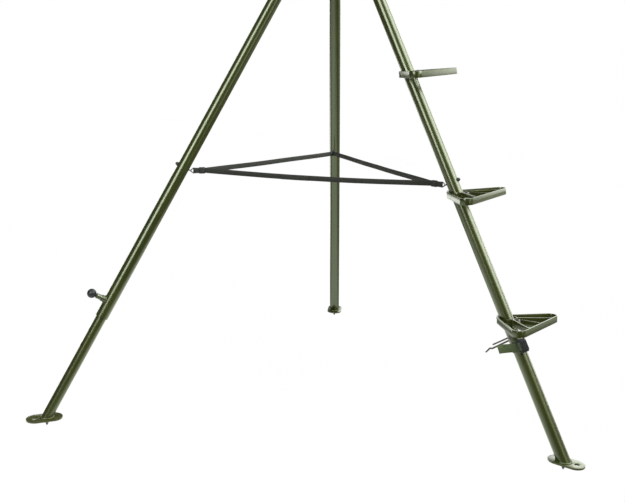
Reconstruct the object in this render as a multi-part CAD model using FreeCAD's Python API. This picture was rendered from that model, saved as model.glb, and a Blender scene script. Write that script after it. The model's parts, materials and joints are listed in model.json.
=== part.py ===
"""Tripod hunting stand: three folding tube legs, a hub, a swivel seat and a webbing spreader.

Millimetres, +Z up. The stand rests on its three foot spikes at Z = 0. The rear leg points
along +Y, the step leg to the front right and the adjustable leg to the front left. The
origin is the middle of the stand's footprint, on the ground.
"""
import FreeCAD
import Part

import math
import os

Vec = FreeCAD.Vector
Rot = FreeCAD.Rotation
Place = FreeCAD.Placement

# ---------------------------------------------------------------- driving dimensions
SPLAY = 28.4                # leg angle from vertical, degrees
LEG_LENGTH = 1842.0         # leg axis from its virtual apex to the top of the foot plate
LEG_OD = 38.1
LEG_WALL = 3.1
FOOT_TRIM = 60.0            # extra tube, cut away level with the foot plate
SLIDE_OD = 31.75            # lower adjuster tube and spigot
SLIDE_WALL = 2.0
AZIMUTH = {"step": -30.0, "rear": 90.0, "adjuster": 210.0}
SPIN_FIT = 0.05             # radial clearance of a running fit

SPIKE_HEIGHT = 20.0
SPIKE_POINT = 12.0          # height of its tapered end
SPIKE_R = 7.0
PLATE_THICK = 5.0
PLATE_LENGTH = 107.0
PLATE_WIDTH = 57.0
PLATE_SHIFT = 7.5           # plate centre, outward of the leg axis
STAKE_HOLE_R = 6.5
STAKE_HOLE_OUT = 38.0       # stake hole, outward of the leg axis

PIVOT_RADIUS = 62.0         # leg pivots, from the hub axis
PIVOT_PIN_R = 5.0
LEG_ABOVE_PIVOT = 28.0
HUB_R = 25.4
HUB_WALL = 4.0
HUB_BOTTOM = 40.0           # hub tube's lower end, below the pivots
HUB_TOP = 56.0              # hub tube's upper end, above the pivots
EAR_THICK = 6.0
STOP_ROD_R = 6.0

STEP_SPACING = 393.0        # along the leg
LOWEST_STEP = 1423.0        # along the leg, from the virtual apex
STEP_BAR_H = 19.05
STEP_BAR_T = 3.2
STEP_REACH = 105.5          # outer edge, from the leg axis
STEP_FLARE = 46.5           # side bars' angle from the radial direction, degrees
STEP_CORNER_R = 21.0
STEP_BACK_R = 26.0
STEP_BACK_SHIFT = -5.5
STEP_NAMES = ("step_lowest", "step_second", "step_third", "step_top")
# How each step sits on its bolt, degrees: outer edge up, far end up, turned outward.
STEP_SEATING = ((3.6, -0.9, -2.6), (5.2, 1.9, -1.3), (5.6, 2.8, -1.3), (5.6, 2.8, -1.3))
SPOKE_SPREAD = 77.0
SPOKE_THICK = 3.0
STEP_BOLT_R = 4.0
STEP_BOLT_UP = 4.0
STEP_HEAD_H = 2.4           # low round head behind the step
SADDLE_X = 3.6              # centre of the half-round saddle that the spokes are welded to
SADDLE_R = 24.0
SADDLE_T = 2.5
SADDLE_LOW = -8.5
NUT_H = 6.5
BOLT_END = 6.0              # thread past the nut
TALL_SPOKE_AT = 43.5        # the middle spoke is low inside this, under the nut
LOW_SPOKE_H = 6.0

EYE_AT = 990.0              # eye bolts, along the leg
EYE_BOLT_R = 3.0
EYE_IN = 25.0               # eye centre, inward of the leg axis
RING_DEPTH = 13.0
RING_HEIGHT = 20.0
WIRE_R = 1.5
TAB_LENGTH = 32.0
TAB_THICK = 5.0
WEB_WIDTH = 16.0
WEB_THICK = 2.2
WEB_START = 5.0             # start of a webbing half, past the sewn corner
WEB_GAP = 0.4               # half the gap between two halves of a span

SPLIT_AT = 1451.0           # joint between the step leg's two tubes
SPIGOT_TOP = 1383.0
SPIGOT_END = 1523.0
CROSS_PIN_AT = 1470.0
CROSS_PIN_R = 4.0
CLIP_WIRE_R = 1.5
CLIP_SIDE = 27.0            # clip's plane, from the leg axis
CLIP_TILT = 6.0             # the clip droops inward by this angle, degrees
CLIP_SPACING = 6.5
TIE_AT = 1502.0
TIE_WIDTH = 25.0
TIE_THICK = 2.0
BUCKLE_ANGLE = -43.0
TAIL_ANGLE = -70.0
TAIL_LENGTH = 53.0

ADJUSTER_END = 1505.5       # lower end of the adjustable leg's outer tube
SLIDE_INSIDE = 290.0        # length of the inner tube held inside the outer one
LOCK_AT = 1453.0            # pull pin, along the leg
LOCK_PITCH = 50.0
LOCK_HOLES_EACH_WAY = 3
LOCK_NOSE_R = 5.0
LOCK_ROD_R = 3.0
BOSS_R = 10.0
BOSS_END = 29.0
BARREL_R = 8.0
BARREL_END = 46.0
BARREL_CAP = 3.0
NOSE_START = 16.2
NOSE_END = 30.0
COLLAR_R = 6.0
SPRING_R = 4.1
SPRING_WIRE_R = 0.45
SPRING_HALF_TURNS = 12
SPRING_END_GAP = 0.1
BALL_R = 14.0
BALL_AT = 62.0

BUSH_FLANGE = 3.0
POST_R = 16.0
HUB_PLATE_R = 48.0
HUB_PLATE_T = 6.0
SEAT_GAP = 0.2
SEAT_FLANGE_R = 62.0
SEAT_FLANGE_T = 6.0
RAIL = 25.4                 # square tube side
RAIL_WALL = 1.8
RAIL_OFFSET = 75.0
SEAT_FRONT = -190.0
SEAT_REAR = 150.0
REAR_BAR_HALF = 205.0
BOARD_HALF = 205.0
BOARD_T = 12.0
CUSHION_T = 56.0
BRACKET_T = 5.0
BACK_PIVOT_UP = 120.0       # backrest pivots, above the rail tops
BACK_PIVOT_Y = 172.0
BACK_OD = 22.2
BACK_HEIGHT = 400.0
BACK_LEAN = 12.0
BACK_INSET = 0.5
BACK_PIN_R = 4.0
BACK_BELOW = 22.0
BACK_BEND = 55.0
BACK_CUSHION_LOW = 95.0
BACK_CUSHION_HIGH = 372.0

# ---------------------------------------------------------------- derived places
SIN, COS = math.sin(math.radians(SPLAY)), math.cos(math.radians(SPLAY))
LEG_R = LEG_OD / 2
SLIDE_R = SLIDE_OD / 2
GROUND_PLATE_TOP = SPIKE_HEIGHT + PLATE_THICK
APEX_Z = GROUND_PLATE_TOP + LEG_LENGTH * COS
FOOT_R = LEG_LENGTH * SIN
PIVOT_Z = APEX_Z - PIVOT_RADIUS / math.tan(math.radians(SPLAY))
PIVOT_AT = PIVOT_RADIUS / SIN
LEG_TOP = PIVOT_AT - LEG_ABOVE_PIVOT
EYE_R = EYE_AT * SIN - EYE_IN * COS
EYE_Z = APEX_Z - EYE_AT * COS - EYE_IN * SIN
CORNER_R = EYE_R - RING_DEPTH - TAB_LENGTH
HUB_TOP_Z = PIVOT_Z + HUB_TOP
HUB_BOTTOM_Z = PIVOT_Z - HUB_BOTTOM
BUSH_TOP_Z = HUB_TOP_Z + HUB_PLATE_T + BUSH_FLANGE
FLANGE_Z = BUSH_TOP_Z + SEAT_GAP
RAIL_Z = FLANGE_Z + SEAT_FLANGE_T
BOARD_Z = RAIL_Z + RAIL
CUSHION_Z = BOARD_Z + BOARD_T + 0.3
BACK_PIVOT_Z = BOARD_Z + BACK_PIVOT_UP
BACK_X = REAR_BAR_HALF - BRACKET_T - BACK_INSET - BACK_OD / 2
PLATE_END = PLATE_LENGTH / 2 - PLATE_WIDTH / 2      # centre of a plate's round end
FOOT_REACH = FOOT_R + PLATE_SHIFT + PLATE_LENGTH / 2
FRONT_REACH = (FOOT_R + PLATE_SHIFT + PLATE_END) / 2 + PLATE_WIDTH / 2
HUB_Y = (FRONT_REACH - FOOT_REACH) / 2              # hub axis, in the stand's own frame


# ---------------------------------------------------------------- helpers
def export(name, shape):
    """Write one node, moved so that the origin is the middle of the footprint."""
    moved = shape.copy()
    moved.translate(Vec(0, HUB_Y, 0))
    moved.exportStep("parts/" + name + ".step")


def group(shapes):
    return Part.makeCompound(shapes)


def box(x0, x1, y0, y1, z0, z1):
    return Part.makeBox(x1 - x0, y1 - y0, z1 - z0, Vec(x0, y0, z0))


def rod(radius, start, end):
    start, end = Vec(*start), Vec(*end)
    return Part.makeCylinder(radius, (end - start).Length, start, end - start)


def pipe(outer, inner, start, end):
    return rod(outer, start, end).cut(rod(inner, start, end))


def hexagon(across_flats, start, end):
    """A hexagonal prism between two points."""
    start, end = Vec(*start), Vec(*end)
    radius = across_flats / math.sqrt(3)
    corners = [
        Vec(radius * math.cos(math.radians(60 * k)), radius * math.sin(math.radians(60 * k)), 0)
        for k in range(7)
    ]
    prism = Part.Face(Part.makePolygon(corners)).extrude(Vec(0, 0, (end - start).Length))
    prism.Placement = Place(start, Rot(Vec(0, 0, 1), end - start))
    return prism


def rounded_path(points, radius):
    """A wire through points whose corners are tangent arcs; radius is one value or a list."""
    points = [Vec(*p) for p in points]
    radii = radius if isinstance(radius, (list, tuple)) else [radius] * (len(points) - 2)
    edges = []
    last = points[0]
    for before, corner, after, bend in zip(points, points[1:], points[2:], radii):
        to_before = (before - corner).normalize()
        to_after = (after - corner).normalize()
        half = to_before.getAngle(to_after) / 2
        reach = bend / math.tan(half)
        start, end = corner + to_before * reach, corner + to_after * reach
        middle_way = (to_before + to_after).normalize()
        middle = corner + middle_way * (bend / math.sin(half) - bend)
        if (start - last).Length > 1e-6:
            edges.append(Part.makeLine(last, start))
        edges.append(Part.Arc(start, middle, end).toShape())
        last = end
    edges.append(Part.makeLine(last, points[-1]))
    return Part.Wire(edges)


def sweep(path, radius):
    """A round solid along a wire."""
    first = path.Edges[0]
    start = first.valueAt(first.FirstParameter)
    along = first.tangentAt(first.FirstParameter)
    ring = Part.Wire(Part.makeCircle(radius, start, along))
    return path.makePipeShell([ring], True, False)


def leg_place(name):
    """Leg frame: X outward across the leg, Y sideways, Z up the leg, origin at the apex."""
    turn = Rot(Vec(0, 0, 1), AZIMUTH[name]) * Rot(Vec(0, 1, 0), -SPLAY)
    return Place(Vec(0, 0, APEX_Z), turn)


def level_place(name, radius, height):
    """Level frame on a leg: X outward, Z up, origin at a radius and height."""
    angle = math.radians(AZIMUTH[name])
    at = Vec(radius * math.cos(angle), radius * math.sin(angle), height)
    return Place(at, Rot(Vec(0, 0, 1), AZIMUTH[name]))


def put(shape, place):
    moved = shape.copy()
    moved.Placement = place.multiply(moved.Placement)
    return moved


def step_distance(index):
    return LOWEST_STEP - STEP_SPACING * index


def step_level(index):
    """A step's own frame: X outward, Z up, origin on the leg's axis."""
    at = step_distance(index)
    edge_up, end_up, turned = STEP_SEATING[index]
    seating = Rot(Vec(0, 0, 1), turned).multiply(Rot(Vec(1, 0, 0), end_up)).multiply(Rot(Vec(0, 1, 0), -edge_up))
    return level_place("step", at * SIN, APEX_Z - at * COS).multiply(Place(Vec(), seating))


def below_ground_plate():
    return box(-2000, 2000, -2000, 2000, -300, GROUND_PLATE_TOP)


def cut_at_foot(tube):
    """Trim a leg tube where it lands on its foot plate."""
    return tube.cut(below_ground_plate())


# ---------------------------------------------------------------- hub
def hub_tube():
    return pipe(HUB_R, HUB_R - HUB_WALL, (0, 0, HUB_BOTTOM_Z), (0, 0, HUB_TOP_Z))


def ear_outline():
    """One clevis ear in the radial plane, from inside the hub tube to round its pivot."""
    tip = 17.0
    low, high = PIVOT_Z - 22, PIVOT_Z + 22
    web = box(HUB_R - 3, PIVOT_RADIUS, 0, EAR_THICK, PIVOT_Z - tip, PIVOT_Z + tip)
    root = Part.Face(Part.makePolygon([
        Vec(HUB_R - 3, 0, low), Vec(PIVOT_RADIUS - 8, 0, PIVOT_Z - tip),
        Vec(PIVOT_RADIUS - 8, 0, PIVOT_Z + tip), Vec(HUB_R - 3, 0, high),
        Vec(HUB_R - 3, 0, low),
    ])).extrude(Vec(0, EAR_THICK, 0))
    nose = rod(tip, (PIVOT_RADIUS, 0, PIVOT_Z), (PIVOT_RADIUS, EAR_THICK, PIVOT_Z))
    hole = rod(PIVOT_PIN_R + SPIN_FIT,
               (PIVOT_RADIUS, -1, PIVOT_Z), (PIVOT_RADIUS, EAR_THICK + 1, PIVOT_Z))
    return web.fuse([root, nose]).removeSplitter().cut(hole)


def hub_ears():
    inner_face = LEG_R + 0.4
    core = rod(HUB_R, (0, 0, HUB_BOTTOM_Z - 1), (0, 0, HUB_TOP_Z + 1))
    ears = []
    for name in AZIMUTH:
        for side in (inner_face, -inner_face - EAR_THICK):
            ear = ear_outline()
            ear.translate(Vec(0, side, 0))
            ears.append(put(ear, level_place(name, 0, 0)).cut(core))
    return group(ears)


def fold_stops():
    """Rods between the ears; each leg's upper end rests on one when it is spread."""
    half = LEG_R + 0.4
    core = rod(HUB_R, (0, 0, HUB_BOTTOM_Z - 1), (0, 0, HUB_TOP_Z + 1))
    inward = LEG_R + 0.3 + STOP_ROD_R
    up_leg = 18.0
    rods = []
    for name in AZIMUTH:
        height = -PIVOT_AT + up_leg
        stop = rod(STOP_ROD_R, (-inward, -half, height), (-inward, half, height))
        rods.append(put(stop, leg_place(name)).cut(core))
    return group(rods)


def hub_top_plate():
    bore = HUB_R - HUB_WALL
    return pipe(HUB_PLATE_R, bore, (0, 0, HUB_TOP_Z), (0, 0, HUB_TOP_Z + HUB_PLATE_T))


def bush(flange_z, direction):
    """A flanged plastic bush; its flange lies on flange_z and its sleeve runs down or up."""
    sleeve_r = HUB_R - HUB_WALL
    sleeve_end = flange_z + direction * 34
    flange = rod(30.0, (0, 0, flange_z), (0, 0, flange_z - direction * BUSH_FLANGE))
    sleeve = rod(sleeve_r, (0, 0, flange_z), (0, 0, sleeve_end))
    bore = rod(POST_R + SPIN_FIT, (0, 0, flange_z - 60), (0, 0, flange_z + 60))
    return flange.fuse(sleeve).removeSplitter().cut(bore)


def pivot_bolts():
    """Hexagon bolts through the ears and the leg tops."""
    ear_face = LEG_R + 0.4 + EAR_THICK
    bolts = []
    for name in AZIMUTH:
        shank = rod(PIVOT_PIN_R, (0, -ear_face, 0), (0, ear_face + 12, 0))
        head = hexagon(17.0, (0, -ear_face - 6.4, 0), (0, -ear_face, 0))
        bolt = shank.fuse(head).removeSplitter()
        bolts.append(put(bolt, level_place(name, PIVOT_RADIUS, PIVOT_Z)))
    return group(bolts)


def pivot_nuts():
    ear_face = LEG_R + 0.4 + EAR_THICK
    nuts = []
    for name in AZIMUTH:
        nut = hexagon(17.0, (0, ear_face, 0), (0, ear_face + 8.4, 0))
        nut = nut.cut(rod(PIVOT_PIN_R, (0, ear_face - 1, 0), (0, ear_face + 20, 0)))
        nuts.append(put(nut, level_place(name, PIVOT_RADIUS, PIVOT_Z)))
    return group(nuts)


# ---------------------------------------------------------------- seat
def seat_spindle():
    """Turned post and, on its upper end, the seat's round flange."""
    post = rod(POST_R, (0, 0, HUB_BOTTOM_Z - BUSH_FLANGE - 1), (0, 0, FLANGE_Z))
    flange = rod(SEAT_FLANGE_R, (0, 0, FLANGE_Z), (0, 0, RAIL_Z))
    thread = rod(6.0, (0, 0, HUB_BOTTOM_Z - 20), (0, 0, HUB_BOTTOM_Z + 40))
    return group([post.cut(thread), flange])


def spindle_bolt():
    """Bolt and washer that keep the post from lifting out of the hub."""
    end = HUB_BOTTOM_Z - BUSH_FLANGE - 1
    shank = rod(6.0, (0, 0, end), (0, 0, end + 36))
    washer = rod(24.0, (0, 0, end - 3), (0, 0, end))
    head = hexagon(19.0, (0, 0, end - 11), (0, 0, end - 3))
    return shank.fuse([washer, head]).removeSplitter()


def square_tube(start, end, across):
    """Square tube of side RAIL along X or Y, between two centre points."""
    low = [min(a, b) for a, b in zip(start, end)]
    high = [max(a, b) for a, b in zip(start, end)]
    half, inner = RAIL / 2, RAIL / 2 - RAIL_WALL
    if across == "x":
        outside = box(low[0], high[0], low[1] - half, low[1] + half, low[2] - half, low[2] + half)
        inside = box(low[0], high[0], low[1] - inner, low[1] + inner, low[2] - inner, low[2] + inner)
    else:
        outside = box(low[0] - half, low[0] + half, low[1], high[1], low[2] - half, low[2] + half)
        inside = box(low[0] - inner, low[0] + inner, low[1], high[1], low[2] - inner, low[2] + inner)
    return outside.cut(inside)


def seat_rails():
    z = RAIL_Z + RAIL / 2
    rails = [
        square_tube((side * RAIL_OFFSET, SEAT_FRONT, z), (side * RAIL_OFFSET, SEAT_REAR, z), "y")
        for side in (-1, 1)
    ]
    return group(rails)


def rail_bridges():
    """Flat bars under the seat that tie the two rails to the spindle's flange."""
    bars = []
    for y in (-42.0, 42.0):
        half = RAIL_OFFSET - RAIL / 2
        bars.append(box(-half, half, y - 12, y + 12, RAIL_Z, RAIL_Z + 6))
    return group(bars)


def rear_bar():
    z = RAIL_Z + RAIL / 2
    y = SEAT_REAR + RAIL / 2
    return square_tube((-REAR_BAR_HALF + BRACKET_T, y, z), (REAR_BAR_HALF - BRACKET_T, y, z), "x")


def seat_board():
    board = box(-BOARD_HALF, BOARD_HALF, SEAT_FRONT - 20, SEAT_REAR - 4, BOARD_Z, BOARD_Z + BOARD_T)
    upright = [e for e in board.Edges if abs(e.tangentAt(0).z) > 0.9]
    board = board.makeFillet(45.0, upright)
    for x, y in seat_bolt_places():
        board = board.cut(rod(3.0, (x, y, BOARD_Z - 1), (x, y, BOARD_Z + BOARD_T + 1)))
    return board


def seat_bolt_places():
    return [(sx * RAIL_OFFSET, y) for sx in (-1, 1) for y in (SEAT_FRONT + 40, SEAT_REAR - 50)]


def seat_board_bolts():
    """Screws from under the rails' upper walls into the board."""
    bolts = []
    for x, y in seat_bolt_places():
        seat = BOARD_Z - RAIL_WALL
        shank = rod(3.0, (x, y, seat), (x, y, BOARD_Z + BOARD_T - 2))
        head = hexagon(10.0, (x, y, seat - 4), (x, y, seat))
        bolts.append(shank.fuse(head).removeSplitter())
    return group(bolts)


def rails_drilled(rails):
    for x, y in seat_bolt_places():
        rails = rails.cut(rod(3.0, (x, y, BOARD_Z - RAIL_WALL - 1), (x, y, BOARD_Z + 1)))
    return rails


def seat_cushion():
    pad = box(-BOARD_HALF - 2, BOARD_HALF + 2, SEAT_FRONT - 24, SEAT_REAR - 6,
              CUSHION_Z, CUSHION_Z + CUSHION_T)
    upright = [e for e in pad.Edges if abs(e.tangentAt(0).z) > 0.9]
    return pad.makeFillet(50.0, upright)


def back_brackets():
    """Two plates welded on the rear bar's ends, each with the pin that stops the backrest."""
    z_low, z_high = RAIL_Z, BACK_PIVOT_Z
    y_mid = SEAT_REAR + RAIL / 2
    plates = []
    for side in (-1, 1):
        inner = side * (REAR_BAR_HALF - BRACKET_T)
        outer = side * REAR_BAR_HALF
        x0, x1 = min(inner, outer), max(inner, outer)
        profile = Part.Face(Part.makePolygon([
            Vec(x0, y_mid - 13, z_low), Vec(x0, y_mid + 13, z_low),
            Vec(x0, BACK_PIVOT_Y + 16, z_high), Vec(x0, BACK_PIVOT_Y - 16, z_high),
            Vec(x0, y_mid - 13, z_low),
        ])).extrude(Vec(x1 - x0, 0, 0))
        head = rod(16.0, (x0, BACK_PIVOT_Y, z_high), (x1, BACK_PIVOT_Y, z_high))
        hole = rod(BACK_PIN_R + SPIN_FIT,
                   (x0 - 1, BACK_PIVOT_Y, z_high), (x1 + 1, BACK_PIVOT_Y, z_high))
        y_stop, z_stop = stop_pin_centre()
        stop = rod(4.0, (inner, y_stop, z_stop), (inner - side * (BACK_OD * 0.8), y_stop, z_stop))
        plates.append(profile.fuse([head, stop]).removeSplitter().cut(hole))
    return group(plates)


def stop_pin_centre():
    """A point in front of an upright's lower end, in the plane across the seat."""
    lean = math.radians(BACK_LEAN)
    along = Vec(0, math.sin(lean), math.cos(lean))
    forward = Vec(0, -math.cos(lean), math.sin(lean))
    at = Vec(0, BACK_PIVOT_Y, BACK_PIVOT_Z) - along * 16.0 + forward * (BACK_OD / 2 + 4.0 + 0.3)
    return at.y, at.z


def back_pivot_bolts():
    bolts = []
    for side in (-1, 1):
        outer = side * REAR_BAR_HALF
        shank = rod(BACK_PIN_R, (outer, BACK_PIVOT_Y, BACK_PIVOT_Z),
                    (outer - side * (BRACKET_T + BACK_INSET + BACK_OD + 9), BACK_PIVOT_Y, BACK_PIVOT_Z))
        head = hexagon(13.0, (outer, BACK_PIVOT_Y, BACK_PIVOT_Z),
                       (outer + side * 5.5, BACK_PIVOT_Y, BACK_PIVOT_Z))
        bolts.append(shank.fuse(head).removeSplitter())
    return group(bolts)


def back_pivot_nuts():
    nuts = []
    for side in (-1, 1):
        face = side * (REAR_BAR_HALF - BRACKET_T - BACK_INSET - BACK_OD - 0.5)
        start = (face, BACK_PIVOT_Y, BACK_PIVOT_Z)
        end = (face - side * 6.5, BACK_PIVOT_Y, BACK_PIVOT_Z)
        bore = rod(BACK_PIN_R, start, end)
        nuts.append(hexagon(13.0, start, end).cut(bore))
    return group(nuts)


def back_place():
    """Backrest frame: origin midway between the pivots, Z up its uprights, -Y its front."""
    return Place(Vec(0, BACK_PIVOT_Y, BACK_PIVOT_Z), Rot(Vec(1, 0, 0), -BACK_LEAN))


def back_frame():
    """One bent tube: two uprights and a top bar."""
    corners = [
        (-BACK_X, 0, -BACK_BELOW), (-BACK_X, 0, BACK_HEIGHT),
        (BACK_X, 0, BACK_HEIGHT), (BACK_X, 0, -BACK_BELOW),
    ]
    path = rounded_path(corners, BACK_BEND)
    tube = sweep(path, BACK_OD / 2).cut(sweep(path, BACK_OD / 2 - 1.6))
    for side in (-1, 1):
        inner, outer = side * (BACK_X - 20), side * (BACK_X + 20)
        tube = tube.cut(rod(BACK_PIN_R + SPIN_FIT, (inner, 0, 0), (outer, 0, 0)))
    return put(tube, back_place())


def back_slats():
    """Two flat bars across the back of the uprights, behind the pad."""
    bars = []
    for z in (150.0, 310.0):
        bars.append(box(-BACK_X, BACK_X, BACK_OD / 2, BACK_OD / 2 + 4, z - 15, z + 15))
    return put(group(bars), back_place())


def back_cushion():
    half = BACK_X - BACK_OD / 2 - 3
    pad = box(-half, half, -24, BACK_OD / 2 - 0.3, BACK_CUSHION_LOW, BACK_CUSHION_HIGH)
    across = [e for e in pad.Edges if abs(e.tangentAt(0).y) > 0.9]
    return put(pad.makeFillet(40.0, across), back_place())


# ---------------------------------------------------------------- legs
def leg_bores(tube):
    """Pivot hole and eye-bolt hole across a leg tube in its own frame."""
    pivot = rod(PIVOT_PIN_R + SPIN_FIT, (0, -30, -PIVOT_AT), (0, 30, -PIVOT_AT))
    bolt = rod(EYE_BOLT_R, (-30, 0, -EYE_AT), (30, 0, -EYE_AT))
    return tube.cut([pivot, bolt])


def leg_tube(start, end):
    return pipe(LEG_R, LEG_R - LEG_WALL, (0, 0, -end), (0, 0, -start))


def rear_leg_tube():
    tube = leg_bores(leg_tube(LEG_TOP, LEG_LENGTH + FOOT_TRIM))
    return cut_at_foot(put(tube, leg_place("rear")))


def step_leg_upper():
    tube = put(leg_bores(leg_tube(LEG_TOP, SPLIT_AT)), leg_place("step"))
    for index in range(len(STEP_NAMES)):
        bolt_hole = rod(STEP_BOLT_R, (-40, 0, STEP_BOLT_UP), (40, 0, STEP_BOLT_UP))
        tube = tube.cut(put(bolt_hole, step_level(index)))
    return tube


def step_leg_lower():
    tube = leg_tube(SPLIT_AT, LEG_LENGTH + FOOT_TRIM)
    tube = tube.cut(rod(CROSS_PIN_R, (0, -40, -CROSS_PIN_AT), (0, 40, -CROSS_PIN_AT)))
    return cut_at_foot(put(tube, leg_place("step")))


def step_leg_spigot():
    """Inner tube that joins the step leg's two tubes."""
    radius = LEG_R - LEG_WALL
    tube = pipe(radius, radius - SLIDE_WALL, (0, 0, -SPIGOT_END), (0, 0, -SPIGOT_TOP))
    tube = tube.cut(rod(CROSS_PIN_R, (0, -40, -CROSS_PIN_AT), (0, 40, -CROSS_PIN_AT)))
    tube = put(tube, leg_place("step"))
    return tube.cut(put(rod(STEP_BOLT_R, (-40, 0, STEP_BOLT_UP), (40, 0, STEP_BOLT_UP)), step_level(0)))


def clip_place():
    """Hairpin clip's frame, in the leg's own: origin on the cross pin, X outward."""
    return Place(Vec(0, 0, -CROSS_PIN_AT), Rot(Vec(0, 1, 0), -CLIP_TILT))


def cross_pin():
    """Pin through the step leg and its spigot; the clip passes through its far end."""
    shank = rod(CROSS_PIN_R, (0, -LEG_R - 1.0, -CROSS_PIN_AT), (0, CLIP_SIDE + 6, -CROSS_PIN_AT))
    head = rod(6.5, (0, -LEG_R - 4.0, -CROSS_PIN_AT), (0, -LEG_R - 0.6, -CROSS_PIN_AT))
    pin = shank.fuse(head).removeSplitter()
    hole = put(rod(CLIP_WIRE_R + SPIN_FIT, (-20, CLIP_SIDE, 0), (20, CLIP_SIDE, 0)), clip_place())
    return put(pin.cut(hole), leg_place("step"))


def hairpin_clip():
    """Spring-wire clip: a straight leg through the pin and a longer, kinked leg beside it."""
    y = CLIP_SIDE
    low = -CLIP_SPACING
    points = [
        (-89, y, 0), (16, y, 0), (24, y, low / 2), (16, y, low),
        (-97, y, low - 3), (-104, y, low + 0.5), (-122, y, low - 5),
    ]
    path = rounded_path(points, [6.0, 3.0, 6.0, 6.0, 6.0])
    return put(put(sweep(path, CLIP_WIRE_R), clip_place()), leg_place("step"))


def adjuster_leg_upper():
    tube = leg_bores(leg_tube(LEG_TOP, ADJUSTER_END))
    tube = tube.cut(rod(LOCK_NOSE_R + SPIN_FIT, (5, 0, -LOCK_AT), (30, 0, -LOCK_AT)))
    return put(tube, leg_place("adjuster"))


def adjuster_leg_lower():
    """Inner tube with a row of locking holes on its outward side."""
    top = ADJUSTER_END - SLIDE_INSIDE
    tube = pipe(SLIDE_R, SLIDE_R - SLIDE_WALL, (0, 0, -LEG_LENGTH - FOOT_TRIM), (0, 0, -top))
    for count in range(-LOCK_HOLES_EACH_WAY, LOCK_HOLES_EACH_WAY + 1):
        at = LOCK_AT + count * LOCK_PITCH
        tube = tube.cut(rod(LOCK_NOSE_R + 0.1, (5, 0, -at), (30, 0, -at)))
    return cut_at_foot(put(tube, leg_place("adjuster")))


def foot_plate(name):
    """Flat oval foot with a stake hole near its outer end."""
    centre = PLATE_SHIFT
    half = PLATE_WIDTH / 2
    plate = box(centre - PLATE_END, centre + PLATE_END, -half, half, 0, PLATE_THICK)
    for end in (centre - PLATE_END, centre + PLATE_END):
        plate = plate.fuse(rod(half, (end, 0, 0), (end, 0, PLATE_THICK)))
    hole = rod(STAKE_HOLE_R, (STAKE_HOLE_OUT, 0, -1), (STAKE_HOLE_OUT, 0, PLATE_THICK + 1))
    return put(plate.removeSplitter().cut(hole), level_place(name, FOOT_R, SPIKE_HEIGHT))


def foot_spike(name):
    """Stud with a blunt point under the plate; the stand rests on its tip."""
    point = Part.makeCone(1.5, SPIKE_R, SPIKE_POINT)
    stud = rod(SPIKE_R, (0, 0, SPIKE_POINT), (0, 0, SPIKE_HEIGHT))
    return put(point.fuse(stud).removeSplitter(), level_place(name, FOOT_R, 0))


# ---------------------------------------------------------------- steps
def step_outline(inset):
    """Closed outline of a step's bar: round behind the leg, flared sides, straight edge."""
    flare = math.radians(STEP_FLARE)
    back_r = STEP_BACK_R - inset
    corner_r = STEP_CORNER_R - inset
    edge = STEP_REACH - inset
    tangent = Vec(STEP_BACK_SHIFT - back_r * math.sin(flare), back_r * math.cos(flare), 0)
    side_at_edge = back_r / math.cos(flare) + (edge - STEP_BACK_SHIFT) * math.tan(flare)
    vertex = Vec(edge, side_at_edge, 0)
    inner_angle = math.pi / 2 - flare
    reach = corner_r / math.tan(inner_angle / 2)
    side_dir = Vec(math.cos(flare), math.sin(flare), 0)
    on_side = vertex - side_dir * reach
    on_edge = vertex - Vec(0, reach, 0)
    centre = Vec(edge - corner_r, on_edge.y, 0)
    outward = (vertex - centre).normalize()
    middle = centre + outward * corner_r

    def mirror(point):
        return Vec(point.x, -point.y, 0)

    back = Vec(STEP_BACK_SHIFT - back_r, 0, 0)
    return Part.Wire([
        Part.Arc(mirror(tangent), back, tangent).toShape(),
        Part.makeLine(tangent, on_side),
        Part.Arc(on_side, middle, on_edge).toShape(),
        Part.makeLine(on_edge, mirror(on_edge)),
        Part.Arc(mirror(on_edge), mirror(middle), mirror(on_side)).toShape(),
        Part.makeLine(mirror(on_side), mirror(tangent)),
    ])


def spoke(start, end, height):
    """One flat bar on edge between two points on its lower edge."""
    bar = box(0, (end - start).Length, -SPOKE_THICK / 2, SPOKE_THICK / 2, 0, height)
    bar.Placement = Place(start, Rot(Vec(1, 0, 0), end - start))
    return bar


def step_spokes():
    """Bars that fan from the saddle to the outer edge; the middle one is notched for the nut."""
    low = -STEP_BAR_H / 2
    edge = STEP_REACH - STEP_BAR_T / 2
    root = SADDLE_R - SADDLE_T / 4
    bars = [
        spoke(Vec(SADDLE_X + root, 0, low), Vec(edge, 0, low), LOW_SPOKE_H),
        spoke(Vec(TALL_SPOKE_AT, 0, low), Vec(edge, 0, low), STEP_BAR_H),
    ]
    for side in (-1, 1):
        turn = math.radians(35 * side)
        start = Vec(SADDLE_X + root * math.cos(turn), root * math.sin(turn), low)
        bars.append(spoke(start, Vec(edge, side * SPOKE_SPREAD, low), STEP_BAR_H))
    return bars


def step_body(index):
    """One welded step: bent flat bar, saddle on the tube and three spokes."""
    low = -STEP_BAR_H / 2
    up = Vec(0, 0, STEP_BAR_H)
    outer = Part.Face(step_outline(0)).extrude(up)
    inner = Part.Face(step_outline(STEP_BAR_T)).extrude(up)
    outer.translate(Vec(0, 0, low))
    inner.translate(Vec(0, 0, low))
    saddle = pipe(SADDLE_R, SADDLE_R - SADDLE_T, (SADDLE_X, 0, SADDLE_LOW), (SADDLE_X, 0, -low))
    saddle = saddle.common(box(SADDLE_X + 3, 60, -60, 60, low, -low))
    step = outer.cut(inner).fuse([saddle] + step_spokes()).removeSplitter()
    step = step.cut(rod(STEP_BOLT_R, (-60, 0, STEP_BOLT_UP), (40, 0, STEP_BOLT_UP)))
    return put(step, step_level(index))


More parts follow.
